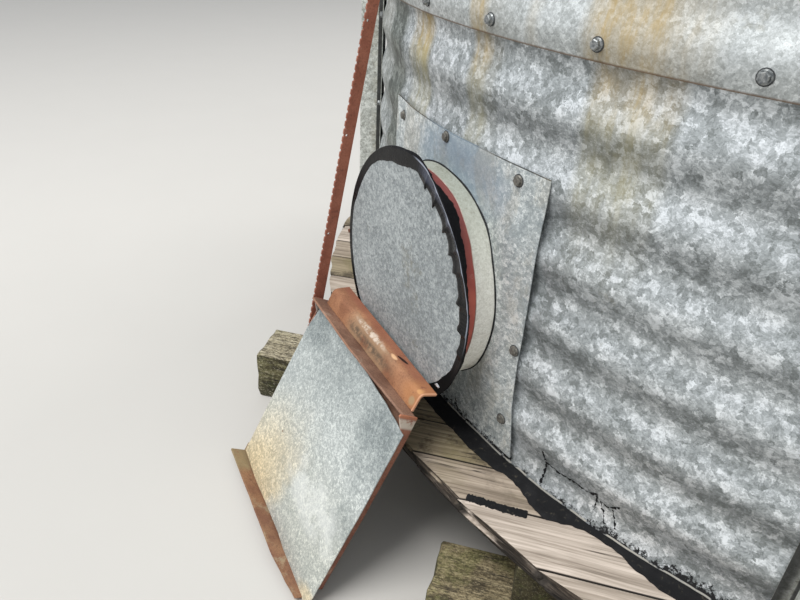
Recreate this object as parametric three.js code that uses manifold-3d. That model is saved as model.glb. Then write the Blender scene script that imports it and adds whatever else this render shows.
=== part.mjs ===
// A small galvanised grain silo on a timber deck, with its capped air inlet and a leaning fan stand.
// Millimetres and degrees. +Z is up, the origin is on the silo's axis at ground level, the inlet faces -Y.
import * as THREE from 'three';
import { mergeVertices } from 'three/addons/utils/BufferGeometryUtils.js';
import Module from 'manifold-3d';

const wasm = await Module();
wasm.setup();

const touchGap = 0.3;
const steps = 72; // facets round the silo
const neckSteps = 48;
const inletSteps = 64;
const cutMargin = 10; // how far a cutting shape runs past what it cuts

// Wall
const wallRadius = 1571; // mean of the corrugations
const wallDepth = 14; // crest to trough, with the sheet itself
const ringCount = 4;
const ringCover = 854; // seven corrugations of 122
const firstLap = 810; // lower edge of the second ring, above the deck
const wallHeight = 3432;
const sheetsPerRing = 3;
const firstSeam = -28; // angle from the inlet, seen from above, anticlockwise

// Timber deck
const sleeperHeight = 150;
const bearerHeight = 100;
const boardThickness = 50;
const deckRadius = 1725;
const deckTop = sleeperHeight + bearerHeight + boardThickness;
const timberAngle = 50.5; // the boards and sleepers run this way, the bearers across
const sleeperPlaces = [-1453, -774, 0, 774, 1453];
const outerSleeper = { width: 250, length: 2194 };
const innerSleeper = { width: 150, length: 3514 };
const bearerWidth = 95;
const bearerPitch = 445;
const bearersEachSide = 3;
const bearerInset = 5; // how far a bearer ends inside the deck's edge

// Stiffeners
const stiffenerCount = 6;
const stiffener = { web: 50, depth: 55, foot: 25, sheet: 4, start: 340, end: 3650 };

// Roof
const roofPitch = 30;
const roofSectors = 6;
const roofSheet = 9; // measured upright
const eaveRadius = 1650;
const eaveLip = { width: 8, drop: 28 };
const rib = { perSector: 4, height: 22, foot: 26, top: 12, narrow: 0.42, start: 315, end: 1646, sunk: 3 };
const neckRadius = 235;
const neck = { wall: 8, below: 30, above: 93, collar: 65, collarSheet: 6 };
const lid = { radius: 254, wall: 4, rise: 40, skirt: 38 };

// Air inlet. Its distances are measured outwards from the wall's mean radius.
const inlet = { x: 25, z: deckTop + 322, yaw: 3, tilt: 1.3, pivot: 50 };
const collar = { radius: 226.5, sheet: 5, back: -28, front: 60 };
const collarCut = 400; // length of the cutting cylinder through the wall
const flange = { radius: 262, neck: 225.5, sheet: 4, front: 98 };
const cover = { radius: 262, sheet: 2.5 };
const band = { sheet: 2, outer: 265.5, inner: 238, back: 78 };
const plate = { left: -9.6, right: 11.5, bottom: deckTop + 27, top: deckTop + 620, sheet: 4, bends: 6 };

// Black seal along the wall's foot, as [out from the wall, up] points
const sealSlope = [[48, 0], [48, 2.5], [28, 8], [12, 16]];
const sealHeight = 26;

// Leaning stand. Across, up the slope and outwards from the panel's lower left corner.
const stand = { x: -227, y: -1990.95, yaw: 1.75, tilt: 28, width: 480, lift: 4.5 };
const panel = { bottom: 5.3, top: 463, sheet: 4 };
const sideAngle = { leg: 26, back: 30, sheet: 4, gusset: 18, gussetDrop: 53 };
const shelfAngle = { top: 488, front: 24.5, back: -25.5, drop: 45, sheet: 5 };
const topAngle = { top: 530, front: -20.8, back: -58.4, inset: 16, sheet: 5, corner: 8, cornerSteps: 4 };
const footAngle = { front: 28, height: 30, sheet: 5, overhang: 10 };

// Notched bar
const bar = { x: -251, y: -1835.5, thickness: 6, width: 26, length: 1464, lean: 10.93 };

const rad = THREE.MathUtils.degToRad;

function material(color, roughness, metalness) {
  return new THREE.MeshStandardMaterial({ color, roughness, metalness });
}

const finishes = {
  sheet: () => material(0xaab0b2, 0.45, 0.8),
  plate: () => material(0x9aa5ad, 0.5, 0.8),
  timber: () => material(0x9c8f78, 0.9, 0),
  sleeper: () => material(0x6f6a4e, 0.95, 0),
  rust: () => material(0x9a5f42, 0.85, 0.2),
  redPaint: () => material(0xb5564a, 0.6, 0),
  black: () => material(0x1c1c1e, 0.4, 0),
  beige: () => material(0xc9c7b8, 0.6, 0.4),
};

const silo = new THREE.Group();

function add(name, geometry, finish, parent = silo) {
  const mesh = new THREE.Mesh(geometry, finishes[finish]());
  mesh.name = name;
  parent.add(mesh);
  return mesh;
}

// Positions only, with shared corners merged and flat slivers dropped
function closed(geometry) {
  const bare = geometry.clone();
  bare.deleteAttribute('normal');
  bare.deleteAttribute('uv');
  const merged = mergeVertices(bare, 1e-3);
  const corners = merged.index.array;
  const kept = [];
  for (let i = 0; i < corners.length; i += 3) {
    const [a, b, c] = [corners[i], corners[i + 1], corners[i + 2]];
    if (a !== b && b !== c && c !== a) kept.push(a, b, c);
  }
  merged.setIndex(kept);
  return merged;
}

function toSolid(geometry) {
  const merged = closed(geometry);
  const vertProperties = new Float32Array(merged.attributes.position.array);
  const triVerts = new Uint32Array(merged.index.array);
  return new wasm.Manifold(new wasm.Mesh({ numProp: 3, vertProperties, triVerts }));
}

function fromSolid(solid) {
  const mesh = solid.getMesh();
  const geometry = new THREE.BufferGeometry();
  geometry.setAttribute('position', new THREE.BufferAttribute(new Float32Array(mesh.vertProperties), 3));
  geometry.setIndex(new THREE.BufferAttribute(new Uint32Array(mesh.triVerts), 1));
  return geometry;
}

// Turns an outline of [radius, height] points round the Z axis, with the middle of a facet at the first seam
function turned(outline, segments = steps) {
  const points = outline.map(([radius, height]) => new THREE.Vector2(radius, height));
  const round = new THREE.LatheGeometry(points, segments).rotateX(Math.PI / 2);
  return closed(round.rotateZ(rad(firstSeam + 180 / segments)));
}

function ringOutline(inner, outer, bottom, top) {
  return [[inner, bottom], [outer, bottom], [outer, top], [inner, top], [inner, bottom]];
}

function around(radius, angle) {
  return [radius * Math.sin(rad(angle)), -radius * Math.cos(rad(angle))];
}

// A tall slice of the round, used to cut one sheet out of a ring and to leave half a gap on each side of it
function slice(from, to, bottom, top) {
  const reach = 2.5 * wallRadius;
  const middle = (from + to) / 2;
  const shape = new THREE.Shape();
  shape.moveTo(0, 0);
  for (const angle of [from, middle, to]) {
    shape.lineTo(...around(reach, angle));
  }
  const prism = new THREE.ExtrudeGeometry(shape, { depth: top - bottom, bevelEnabled: false });
  const shift = around(touchGap / 2 / Math.sin(rad((to - from) / 2)), middle);
  return toSolid(prism.translate(...shift, bottom));
}

// Extrudes a cross-section of [outwards, up] points along X
function section(points, from, to) {
  const shape = new THREE.Shape(points.map(([outwards, up]) => new THREE.Vector2(-outwards, up)));
  const solid = new THREE.ExtrudeGeometry(shape, { depth: to - from, bevelEnabled: false });
  return solid.rotateY(Math.PI / 2).translate(from, 0, 0);
}

function angleSection({ front, back, low, high, sheet }) {
  return [[back, low], [back + sheet, low], [back + sheet, high - sheet], [front, high - sheet],
    [front, high], [back, high]];
}

function inletFrame() {
  const frame = new THREE.Group();
  frame.position.set(inlet.x, -(wallRadius + inlet.pivot), inlet.z);
  frame.rotation.set(rad(-inlet.tilt), 0, rad(inlet.yaw), 'ZYX');
  frame.updateMatrix();
  return frame;
}

// Turns an outline of [radius, distance from the wall] points round the inlet's own axis
function inletTurned(outline) {
  const points = outline.map(([radius, out]) => new THREE.Vector2(radius, inlet.pivot - out));
  return closed(new THREE.LatheGeometry(points.reverse(), inletSteps));
}

function inletCutter() {
  const radius = collar.radius + touchGap;
  const cutter = new THREE.CylinderGeometry(radius, radius, collarCut, inletSteps);
  return toSolid(cutter.applyMatrix4(inletFrame().matrix));
}

function addTimber() {
  const timber = new THREE.Group();
  timber.rotation.z = rad(timberAngle);
  silo.add(timber);
  sleeperPlaces.forEach((place, index) => {
    const isOuter = index === 0 || index === sleeperPlaces.length - 1;
    const size = isOuter ? outerSleeper : innerSleeper;
    const block = new THREE.BoxGeometry(size.length, size.width, sleeperHeight - touchGap);
    const mesh = add(`sleeper_${index + 1}`, block, 'sleeper', timber);
    mesh.position.set(0, -place, (sleeperHeight - touchGap) / 2);
  });
  for (let index = -bearersEachSide; index <= bearersEachSide; index += 1) {
    const place = index * bearerPitch;
    const half = Math.sqrt(deckRadius ** 2 - (Math.abs(place) + bearerWidth / 2) ** 2) - bearerInset;
    const block = new THREE.BoxGeometry(bearerWidth, 2 * half, bearerHeight - touchGap);
    const mesh = add(`bearer_${index + bearersEachSide + 1}`, block, 'sleeper', timber);
    mesh.position.set(place, 0, sleeperHeight + (bearerHeight - touchGap) / 2);
  }
  const boards = [[0, deckTop - boardThickness], [deckRadius, deckTop - boardThickness],
    [deckRadius, deckTop - touchGap], [0, deckTop - touchGap]];
  add('deck_boards', turned(boards), 'timber');
}

function addWall() {
  const inner = wallRadius - wallDepth / 2;
  const outer = wallRadius + wallDepth / 2;
  const span = 360 / sheetsPerRing;
  const hole = inletCutter();
  for (let ring = 1; ring <= ringCount; ring += 1) {
    const bottom = ring === 1 ? deckTop : deckTop + firstLap + (ring - 2) * ringCover;
    const lap = deckTop + firstLap + (ring - 1) * ringCover;
    const top = ring === ringCount ? deckTop + wallHeight : lap - touchGap;
    const whole = toSolid(turned(ringOutline(inner, outer, bottom, top)));
    const start = firstSeam + (ring % 2 === 0 ? span / 2 : 0);
    for (let sheet = 1; sheet <= sheetsPerRing; sheet += 1) {
      const from = start + (sheet - 1) * span;
      let piece = whole.intersect(slice(from, from + span, bottom - cutMargin, top + cutMargin));
      if (ring === 1 && sheet === 1) piece = piece.subtract(hole);
      add(`wall_ring_${ring}_sheet_${sheet}`, fromSolid(piece), 'sheet');
    }
  }
  const slope = sealSlope.map(([out, up]) => [outer + out, deckTop + up]);
  const heel = [outer + touchGap, deckTop];
  add('base_seal', turned([heel, ...slope, [outer + touchGap, deckTop + sealHeight], heel]), 'black');
}

// A hat section standing on the wall, outwards along -Y before it is turned to its place
function hatSection() {
  const { web, depth, foot, sheet } = stiffener;
  const shape = new THREE.Shape();
  const half = web / 2;
  shape.moveTo(-half - foot, 0);
  shape.lineTo(-half - foot, -sheet);
  shape.lineTo(-half, -sheet);
  shape.lineTo(-half, -depth);
  shape.lineTo(half, -depth);
  shape.lineTo(half, -sheet);
  shape.lineTo(half + foot, -sheet);
  shape.lineTo(half + foot, 0);
  shape.lineTo(half - sheet, 0);
  shape.lineTo(half - sheet, -depth + sheet);
  shape.lineTo(-half + sheet, -depth + sheet);
  shape.lineTo(-half + sheet, 0);
  return shape;
}

function addStiffeners() {
  const length = stiffener.end - stiffener.start;
  const facet = (wallRadius + wallDepth / 2) * Math.cos(rad(180 / steps));
  for (let index = 0; index < stiffenerCount; index += 1) {
    const turn = new THREE.Group();
    turn.rotation.z = rad(firstSeam + (index * 360) / stiffenerCount);
    silo.add(turn);
    const hat = new THREE.ExtrudeGeometry(hatSection(), { depth: length, bevelEnabled: false });
    const mesh = add(`stiffener_${index + 1}`, hat, 'sheet', turn);
    mesh.position.set(0, -(facet + touchGap), stiffener.start);
  }
}

function addRoof() {
  const slope = Math.tan(rad(roofPitch));
  const wallTop = deckTop + wallHeight + touchGap;
  const outer = wallRadius + wallDepth / 2;
  const under = (radius) => wallTop + (outer - radius) * slope;
  const over = (radius) => under(radius) + roofSheet;
  const lipInner = eaveRadius - eaveLip.width;
  const lipBottom = under(eaveRadius) - eaveLip.drop;
  const outline = [[neckRadius, under(neckRadius)], [lipInner, under(lipInner)], [lipInner, lipBottom],
    [eaveRadius, lipBottom], [eaveRadius, over(eaveRadius)], [neckRadius, over(neckRadius)],
    [neckRadius, under(neckRadius)]];
  const whole = toSolid(turned(outline));
  const span = 360 / roofSectors;
  for (let sector = 1; sector <= roofSectors; sector += 1) {
    const from = (sector - 1.5) * span;
    const cutter = slice(from, from + span, lipBottom - cutMargin, over(neckRadius) + cutMargin);
    let piece = whole.intersect(cutter);
    for (let panel = 0; panel < rib.perSector; panel += 1) {
      piece = piece.add(roofRib(from + ((panel + 0.5) * span) / rib.perSector, over));
    }
    add(`roof_sector_${sector}`, fromSolid(piece), 'sheet');
  }
  addNeck(over);
}

// One rib of the roof panels, narrower towards the neck and sunk a little into the sheet
function roofRib(angle, over) {
  const points = [];
  const [acrossX, acrossY] = around(1, angle + 90);
  for (const radius of [rib.start, rib.end]) {
    const taper = rib.narrow + ((1 - rib.narrow) * (radius - neckRadius)) / (eaveRadius - neckRadius);
    const [x, y] = around(radius, angle);
    for (const [half, rise] of [[rib.foot, -rib.sunk / taper], [rib.top, rib.height]]) {
      for (const side of [-half, half]) {
        points.push([x + acrossX * side * taper, y + acrossY * side * taper, over(radius) + rise * taper]);
      }
    }
  }
  return wasm.Manifold.hull(points);
}

function addNeck(over) {
  const outer = neckRadius * Math.cos(rad(180 / steps)) - touchGap;
  const inner = outer - neck.wall;
  const bottom = over(neckRadius) - neck.below;
  const top = over(neckRadius) + neck.above;
  const rest = (radius) => over(radius) + 2 * touchGap;
  const edge = neckRadius + neck.collar;
  const ring = [[inner, bottom], [outer, bottom], [outer, rest(outer)], [edge, rest(edge)],
    [edge, rest(edge) + neck.collarSheet], [outer, rest(outer) + neck.collarSheet], [outer, top],
    [inner, top], [inner, bottom]];
  add('roof_neck', turned(ring, neckSteps), 'sheet');
  const seat = top + touchGap;
  const inside = lid.radius - lid.wall;
  const fall = lid.rise / outer;
  const cap = [[0, seat + lid.rise], [inside, seat - (inside - outer) * fall], [inside, seat - lid.skirt],
    [lid.radius, seat - lid.skirt], [lid.radius, seat + lid.wall - (inside - outer) * fall],
    [0, seat + lid.rise + lid.wall]];
  add('roof_lid', turned(cap, neckSteps), 'sheet');
}

function addInlet() {
  const frame = inletFrame();
  silo.add(frame);
  const outer = wallRadius + wallDepth / 2;
  const bend = (plate.right - plate.left) / plate.bends;
  const inner = outer / Math.cos(rad(bend / 2)) + touchGap;
  const wedge = slice(plate.left, plate.right, plate.bottom - cutMargin, plate.top + cutMargin);
  const outline = ringOutline(inner, inner + plate.sheet, plate.bottom, plate.top);
  const ring = toSolid(turned(outline, Math.round(360 / bend)));
  add('inlet_plate', fromSolid(ring.intersect(wedge).subtract(inletCutter())), 'plate');

  const tube = ringOutline(collar.radius - collar.sheet, collar.radius, collar.back, collar.front);
  add('inlet_collar', inletTurned(tube), 'beige', frame);

  const neckInner = flange.neck - flange.sheet;
  const flangeBack = flange.front - flange.sheet;
  const rimmed = [[neckInner, collar.front + touchGap], [flange.neck, collar.front + touchGap],
    [flange.neck, flangeBack], [flange.radius, flangeBack], [flange.radius, flange.front],
    [neckInner, flange.front], [neckInner, collar.front + touchGap]];
  add('inlet_flange', inletTurned(rimmed), 'redPaint', frame);

  const coverBack = flange.front + touchGap;
  const coverFront = coverBack + cover.sheet;
  const disc = [[0, coverBack], [cover.radius, coverBack], [cover.radius, coverFront], [0, coverFront]];
  add('inlet_cover', inletTurned(disc), 'plate', frame);

  const bandInner = cover.radius + touchGap;
  const face = coverFront + touchGap;
  const wrap = [[bandInner, band.back], [band.outer, band.back], [band.outer, face + band.sheet],
    [band.inner, face + band.sheet], [band.inner, face], [bandInner, face], [bandInner, band.back]];
  add('inlet_band', inletTurned(wrap), 'black', frame);
}

function addStand() {
  const turn = new THREE.Group();
  turn.position.set(stand.x, stand.y, stand.lift);
  turn.rotation.z = rad(stand.yaw);
  const lean = new THREE.Group();
  lean.rotation.x = rad(90 - stand.tilt);
  turn.add(lean);
  silo.add(turn);

  const sheet = [[-panel.sheet, panel.bottom], [0, panel.bottom], [0, panel.top], [-panel.sheet, panel.top]];
  add('stand_panel', section(sheet, 0, stand.width), 'plate', lean);

  const sideOut = touchGap + sideAngle.sheet;
  const backFace = -panel.sheet - touchGap;
  const web = [[-sideAngle.leg, footAngle.height + touchGap], [0, footAngle.height + touchGap],
    [0, shelfAngle.top - sideAngle.gussetDrop], [sideAngle.gusset, shelfAngle.top],
    [-sideAngle.leg, shelfAngle.top]];
  const leg = [[backFace - sideAngle.sheet, footAngle.height + touchGap],
    [backFace, footAngle.height + touchGap], [backFace, shelfAngle.top - shelfAngle.drop - touchGap],
    [backFace - sideAngle.sheet, shelfAngle.top - shelfAngle.drop - touchGap]];
  const sides = {
    stand_left_angle: [section(web, -sideOut, -touchGap), section(leg, -sideOut, sideAngle.back)],
    stand_right_angle: [section(web, stand.width + touchGap, stand.width + sideOut),
      section(leg, stand.width - sideAngle.back, stand.width + sideOut)],
  };
  for (const [name, [outside, behind]] of Object.entries(sides)) {
    add(name, fromSolid(toSolid(outside).add(toSolid(behind))), 'rust', lean);
  }

  const shelf = angleSection({ ...shelfAngle, low: shelfAngle.top - shelfAngle.drop, high: shelfAngle.top });
  add('stand_shelf_angle', section(shelf, 0, stand.width), 'rust', lean);

  const ridge = angleRidge();
  add('stand_top_angle', section(ridge, topAngle.inset, stand.width - topAngle.inset), 'rust', lean);

  const footBack = backFace - footAngle.sheet;
  const foot = [[footBack, footAngle.height], [footBack, 0], [footAngle.front, 0],
    [footAngle.front, footAngle.sheet], [backFace, footAngle.sheet], [backFace, footAngle.height]];
  add('stand_foot_angle', section(foot, -footAngle.overhang, stand.width), 'rust', lean);
}

// The upper angle stands on the shelf, with its rounded corner to the front
function angleRidge() {
  const { top, front, back, sheet, corner, cornerSteps } = topAngle;
  const low = shelfAngle.top + touchGap;
  const points = [[front, low]];
  for (let turn = 0; turn <= cornerSteps; turn += 1) {
    const angle = rad((turn * 90) / cornerSteps);
    points.push([front - corner + corner * Math.cos(angle), top - corner + corner * Math.sin(angle)]);
  }
  points.push([back, top], [back, top - sheet], [front - sheet, top - sheet], [front - sheet, low]);
  return points;
}

function addBar() {
  const lean = new THREE.Group();
  lean.position.set(bar.x, bar.y, 0);
  lean.rotation.x = rad(-bar.lean);
  silo.add(lean);
  const strip = new THREE.BoxGeometry(bar.thickness, bar.width, bar.length);
  add('notched_bar', strip.translate(bar.thickness / 2, -bar.width / 2, bar.length / 2), 'rust', lean);
}

addTimber();
addWall();
addStiffeners();
addRoof();
addInlet();
addStand();
addBar();

export default silo;
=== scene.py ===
import bpy
import bmesh
import math
from functools import reduce
from mathutils import Matrix, Vector, noise


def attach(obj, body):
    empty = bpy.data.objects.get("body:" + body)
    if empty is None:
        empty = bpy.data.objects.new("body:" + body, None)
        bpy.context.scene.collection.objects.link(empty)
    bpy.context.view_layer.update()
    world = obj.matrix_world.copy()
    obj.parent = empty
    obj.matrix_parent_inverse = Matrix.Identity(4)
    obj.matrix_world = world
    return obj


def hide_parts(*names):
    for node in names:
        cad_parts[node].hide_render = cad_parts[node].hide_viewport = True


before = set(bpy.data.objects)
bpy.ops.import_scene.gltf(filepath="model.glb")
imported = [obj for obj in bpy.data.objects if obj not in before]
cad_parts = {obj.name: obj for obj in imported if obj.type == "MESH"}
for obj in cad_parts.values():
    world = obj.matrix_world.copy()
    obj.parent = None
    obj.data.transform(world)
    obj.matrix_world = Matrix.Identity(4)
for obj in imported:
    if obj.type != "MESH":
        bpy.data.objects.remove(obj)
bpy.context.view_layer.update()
print("frame loaded")

mm = 0.001
degreesPerRadian = 57.29578
deckTop = 0.300
boardAngle = 50.5  # degrees from X, anticlockwise from above
wallRadius = 1.571
waveLength, waveCrest = 0.122, 0.1134  # the wall's corrugations and the height of one crest above the deck
firstLap, ringCover = 0.810, 0.854
firstSeam = -28.0  # degrees from the inlet, anticlockwise from above
stiffenerAngles = [firstSeam + 60 * index for index in range(6)]


# Small helpers

def deg(angle):
    return math.radians(angle)


def turn(angle, axis):
    return Matrix.Rotation(deg(angle), 4, axis)


inletFrame = Matrix.Translation((0.025, -1.621, 0.622)) @ turn(3, "Z") @ turn(-1.3, "X")
standFrame = Matrix.Translation((-0.227, -1.99095, 0.0045)) @ turn(1.75, "Z") @ turn(62, "X")


def around(radius, angle, height):
    return Vector((radius * math.sin(deg(angle)), -radius * math.cos(deg(angle)), height))


def angleOf(point):
    return math.degrees(math.atan2(point.x, -point.y))


def flat(point):
    return Vector((point.x, point.y, 0))


def smooth(value):
    value = min(1.0, max(0.0, value))
    return value * value * (3 - 2 * value)


# Value at a place between the points of a list
def along(points, place):
    for (low, first), (high, last) in zip(points, points[1:]):
        if low <= place <= high:
            return first + (last - first) * smooth((place - low) / (high - low))
    return points[0][1] if place < points[0][0] else points[-1][1]


def noiseAt(*place):
    return noise.noise(Vector(place))


def ringNoise(angle, scale, seed):
    return noiseAt(math.sin(deg(angle)) * scale, math.cos(deg(angle)) * scale, seed)


def wobble(point, scale, amount, seed=0.0):
    return amount * noise.noise(point * scale + Vector((seed, seed * 1.7, seed * 0.3)))


def linked(name, data):
    made = bpy.data.objects.new(name, data)
    bpy.context.scene.collection.objects.link(made)
    return made


def meshFrom(bm, name="work"):
    mesh = bpy.data.meshes.new(name)
    bm.to_mesh(mesh)
    bm.free()
    return mesh


def makePiece(name, bm, finishes, stands=(), sharpAngle=35):
    for edge in bm.edges:
        edge.smooth = len(edge.link_faces) == 2 and edge.calc_face_angle(0) < deg(sharpAngle)
    for face in bm.faces:
        face.smooth = True
    piece = linked(name, meshFrom(bm, name))
    for finish in finishes:
        piece.data.materials.append(finish)
    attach(piece, "root")
    if stands:
        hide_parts(*stands)
    return piece


def recalculated(bm):
    bmesh.ops.recalc_face_normals(bm, faces=bm.faces)
    return bm


def cleaned(bm, distance=0.00002):
    bmesh.ops.remove_doubles(bm, verts=bm.verts, dist=distance)
    return recalculated(bm)


# Turns an open shell over when most of it faces the wrong way by the measure
def faceOut(bm, measure):
    if sum(measure(face) for face in bm.faces) < 0:
        bmesh.ops.reverse_faces(bm, faces=bm.faces)


def moveAll(bm, matrix):
    bmesh.ops.transform(bm, matrix=matrix, verts=bm.verts)
    return bm


def thicken(bm, thickness):
    bmesh.ops.solidify(bm, geom=bm.faces[:], thickness=thickness)


def bevelled(bm, edges, size, segments=1, clamp=False):
    bmesh.ops.bevel(bm, geom=edges, offset=size, affect="EDGES", segments=segments, profile=0.5, material=-1,
                    clamp_overlap=clamp)


def sharpEdges(bm, angle=60):
    return [edge for edge in bm.edges if len(edge.link_faces) == 2 and edge.calc_face_angle(0) > deg(angle)]


def cutAt(bm, axis, places):
    for place in places:
        point, across = Vector(), Vector()
        point[axis], across[axis] = place, 1
        bmesh.ops.bisect_plane(bm, geom=bm.verts[:] + bm.edges[:] + bm.faces[:], plane_co=point, plane_no=across)


def addCone(bm, radius, top, depth, sides, matrix):
    return bmesh.ops.create_cone(bm, cap_ends=True, segments=sides, radius1=radius, radius2=top, depth=depth,
                                 matrix=matrix)["verts"]


# A block round a centre, with edges of the sizes given
def addBlock(bm, centre, size):
    bmesh.ops.create_cube(bm, size=1)
    moveAll(bm, Matrix.Translation(centre) @ Matrix.Diagonal((*size, 1)))


def fresh(made, kind):
    return [item for item in made["geom"] if isinstance(item, kind)]


# Joins an open or closed run of points with edges
def polyline(bm, points, closed=False):
    verts = [bm.verts.new(point) for point in points]
    return verts, [bm.edges.new(pair) for pair in zip(verts, verts[1:] + verts[:closed])]


def spun(bm, geom, steps, sweep=360.0):
    bmesh.ops.spin(bm, geom=geom, cent=(0, 0, 0), axis=(0, 0, 1), dvec=(0, 0, 0), angle=deg(sweep), steps=steps,
                   use_merge=sweep == 360.0, use_duplicate=False)
    return cleaned(bm)


# Turns a profile of (radius, height) points about Z
def turned(points, steps, closed=True, start=0.0, sweep=360.0):
    bm = bmesh.new()
    verts, edges = polyline(bm, [around(radius, start, height) for radius, height in points], closed)
    return spun(bm, verts + edges, steps, sweep)


# A flat outline of (y, z) points, given its depth along X
def slab(outline, start, depth):
    bm = bmesh.new()
    face = bm.faces.new([bm.verts.new((start, y, z)) for y, z in outline])
    verts = fresh(bmesh.ops.extrude_face_region(bm, geom=[face]), bmesh.types.BMVert)
    bmesh.ops.translate(bm, vec=(depth, 0, 0), verts=verts)
    return recalculated(bm)


def shaken(bm, scale, amount, seed=0.0):
    for vert in bm.verts:
        vert.co += Vector([wobble(vert.co, scale, amount, seed + more) for more in (0, 9, 17)])


def addCopies(bm, template, places):
    for place in places:
        before = len(bm.verts)
        bm.from_mesh(template)
        bm.verts.ensure_lookup_table()
        bmesh.ops.transform(bm, matrix=place, verts=bm.verts[before:])


# Cuts one solid from another with an exact boolean, or joins them
def combined(bm, otherBm, operation="DIFFERENCE"):
    body, tool = [linked("work", meshFrom(part)) for part in (bm, otherBm)]
    modifier = body.modifiers.new("cut", "BOOLEAN")
    modifier.operation = operation
    modifier.object = tool
    modifier.solver = "EXACT"
    result = bmesh.new()
    result.from_object(body, bpy.context.evaluated_depsgraph_get())
    for made in (body, tool):
        bpy.data.objects.remove(made)
    return result


# A frame that stands on the wall at an angle and height, with Z outwards and Y up
def wallPlace(angle, height, radius):
    out = around(1, angle, 0)
    side = Vector((-out.y, out.x, 0))
    stood = Matrix((side, Vector((0, 0, 1)), out)).transposed().to_4x4()
    return Matrix.Translation(around(radius, angle, height)) @ stood


# Node helpers. A value is a socket or a number. A colour is a socket or (red, green, blue) from 0 to 255.

def tone(colour):
    parts = [part / 255 for part in colour]
    return tuple(part / 12.92 if part <= 0.04045 else ((part + 0.055) / 1.055) ** 2.4 for part in parts) + (1.0,)


def addNode(tree, kind, sockets=None, **settings):
    made = tree.nodes.new("ShaderNode" + kind)
    for key, value in settings.items():
        setattr(made, key, value)
    for key, value in (sockets or {}).items():
        socket = made.inputs[key]
        if isinstance(value, bpy.types.NodeSocket):
            tree.links.new(value, socket)
        else:
            socket.default_value = tone(value) if socket.type == "RGBA" and len(value) == 3 else value
    return made


# Adds a node to the tree that its first linked value is in
def fed(kind, sockets, **settings):
    tree = next(value.id_data for value in sockets.values() if isinstance(value, bpy.types.NodeSocket))
    return addNode(tree, kind, sockets, **settings).outputs


def calc(operation, first, second=0.0, clamp=False):
    return fed("Math", {0: first, 1: second}, operation=operation, use_clamp=clamp)[0]


def times(*values):
    return reduce(lambda first, second: calc("MULTIPLY", first, second), values)


def plus(*values):
    return reduce(lambda first, second: calc("ADD", first, second), values)


def minus(first, second):
    return calc("SUBTRACT", first, second)


def squares(first, second):
    return plus(times(first, first), times(second, second))


def vectors(operation, first, second):
    sockets = {0: first, "Scale" if operation == "SCALE" else 1: second}
    return fed("VectorMath", sockets, operation=operation)[0]


def spread(value, low, high, toLow=0.0, toHigh=1.0, kind="SMOOTHSTEP"):
    sockets = {"Value": value, "From Min": low, "From Max": high, "To Min": toLow, "To Max": toHigh}
    return fed("MapRange", sockets, interpolation_type=kind)[0]


# Rises from the first place to the second and falls from the third to the fourth
def band(value, low, full, still, high):
    return times(spread(value, low, full), spread(value, high, still))


# Lays a second colour over the first where all the masks are
def over(first, second, *masks, mode="MIX"):
    return fed("Mix", {0: times(*masks), 6: first, 7: second}, data_type="RGBA", blend_type=mode)[2]


# Lays several colours over one another in turn, each as (colour, its masks and strengths)
def layered(colour, *layers, mode="MIX"):
    for shade, *masks in layers:
        colour = over(colour, shade, *masks, mode=mode)
    return colour


def noiseOf(vector, scale, detail=3.0, roughness=0.5, distortion=0.0, output=0):
    return fed("TexNoise", {"Vector": vector, "Scale": scale, "Detail": detail, "Roughness": roughness,
                            "Distortion": distortion})[output]


def stretched(vector, x, y, z):
    return fed("Mapping", {"Vector": vector, "Scale": (x, y, z)})[0]


def rolled(place, angle):
    return fed("Mapping", {"Vector": place, "Rotation": (0, 0, deg(angle))})[0]


def xyz(vector):
    return fed("SeparateXYZ", {0: vector})


def ramped(value, stops):
    tree = value.id_data
    ramp = addNode(tree, "ValToRGB", {0: value})
    elements = ramp.color_ramp.elements
    while len(elements) < len(stops):
        elements.new(0.5)
    for element, (place, colour) in zip(elements, sorted(stops)):
        element.position = place
        element.color = tone(colour) if isinstance(colour, tuple) else (colour, colour, colour, 1.0)
    return ramp.outputs[0]


def makeGroup(name, inputs, outputs):
    group = bpy.data.node_groups.new(name, "ShaderNodeTree")
    group.interface.new_socket(name="Vector", in_out="INPUT", socket_type="NodeSocketVector")
    for label, value in inputs.items():
        socket = group.interface.new_socket(name=label, in_out="INPUT", socket_type="NodeSocketFloat")
        socket.default_value = value
    for label in outputs:
        group.interface.new_socket(name=label, in_out="OUTPUT", socket_type="NodeSocketFloat")
    entry, leave = group.nodes.new("NodeGroupInput"), group.nodes.new("NodeGroupOutput")
    return group, entry.outputs[:len(inputs) + 1], leave.inputs


def useGroup(group, **inputs):
    return fed("Group", inputs, node_tree=group)


def newMaterial(name):
    material = bpy.data.materials.new(name)
    material.use_nodes = True
    tree = material.node_tree
    tree.nodes.clear()
    shader = addNode(tree, "BsdfPrincipled")
    addNode(tree, "OutputMaterial", {0: shader.outputs[0]})
    return material, shader.inputs, addNode(tree, "TexCoord").outputs["Object"]


def wire(shader, colour, roughness, height, bump, strength, metallic=None):
    bumped = fed("Bump", {"Strength": strength, "Distance": bump, "Height": height})[0]
    for label, value in (("Base Color", colour), ("Roughness", roughness), ("Metallic", metallic),
                         ("Normal", bumped)):
        if value is not None:
            value.id_data.links.new(value, shader[label])


def attribute(place, name):
    return addNode(place.id_data, "Attribute", attribute_name=name).outputs["Fac"]


def normalParts(place):
    return xyz(addNode(place.id_data, "NewGeometry").outputs["Normal"])


# Shared effects

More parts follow.
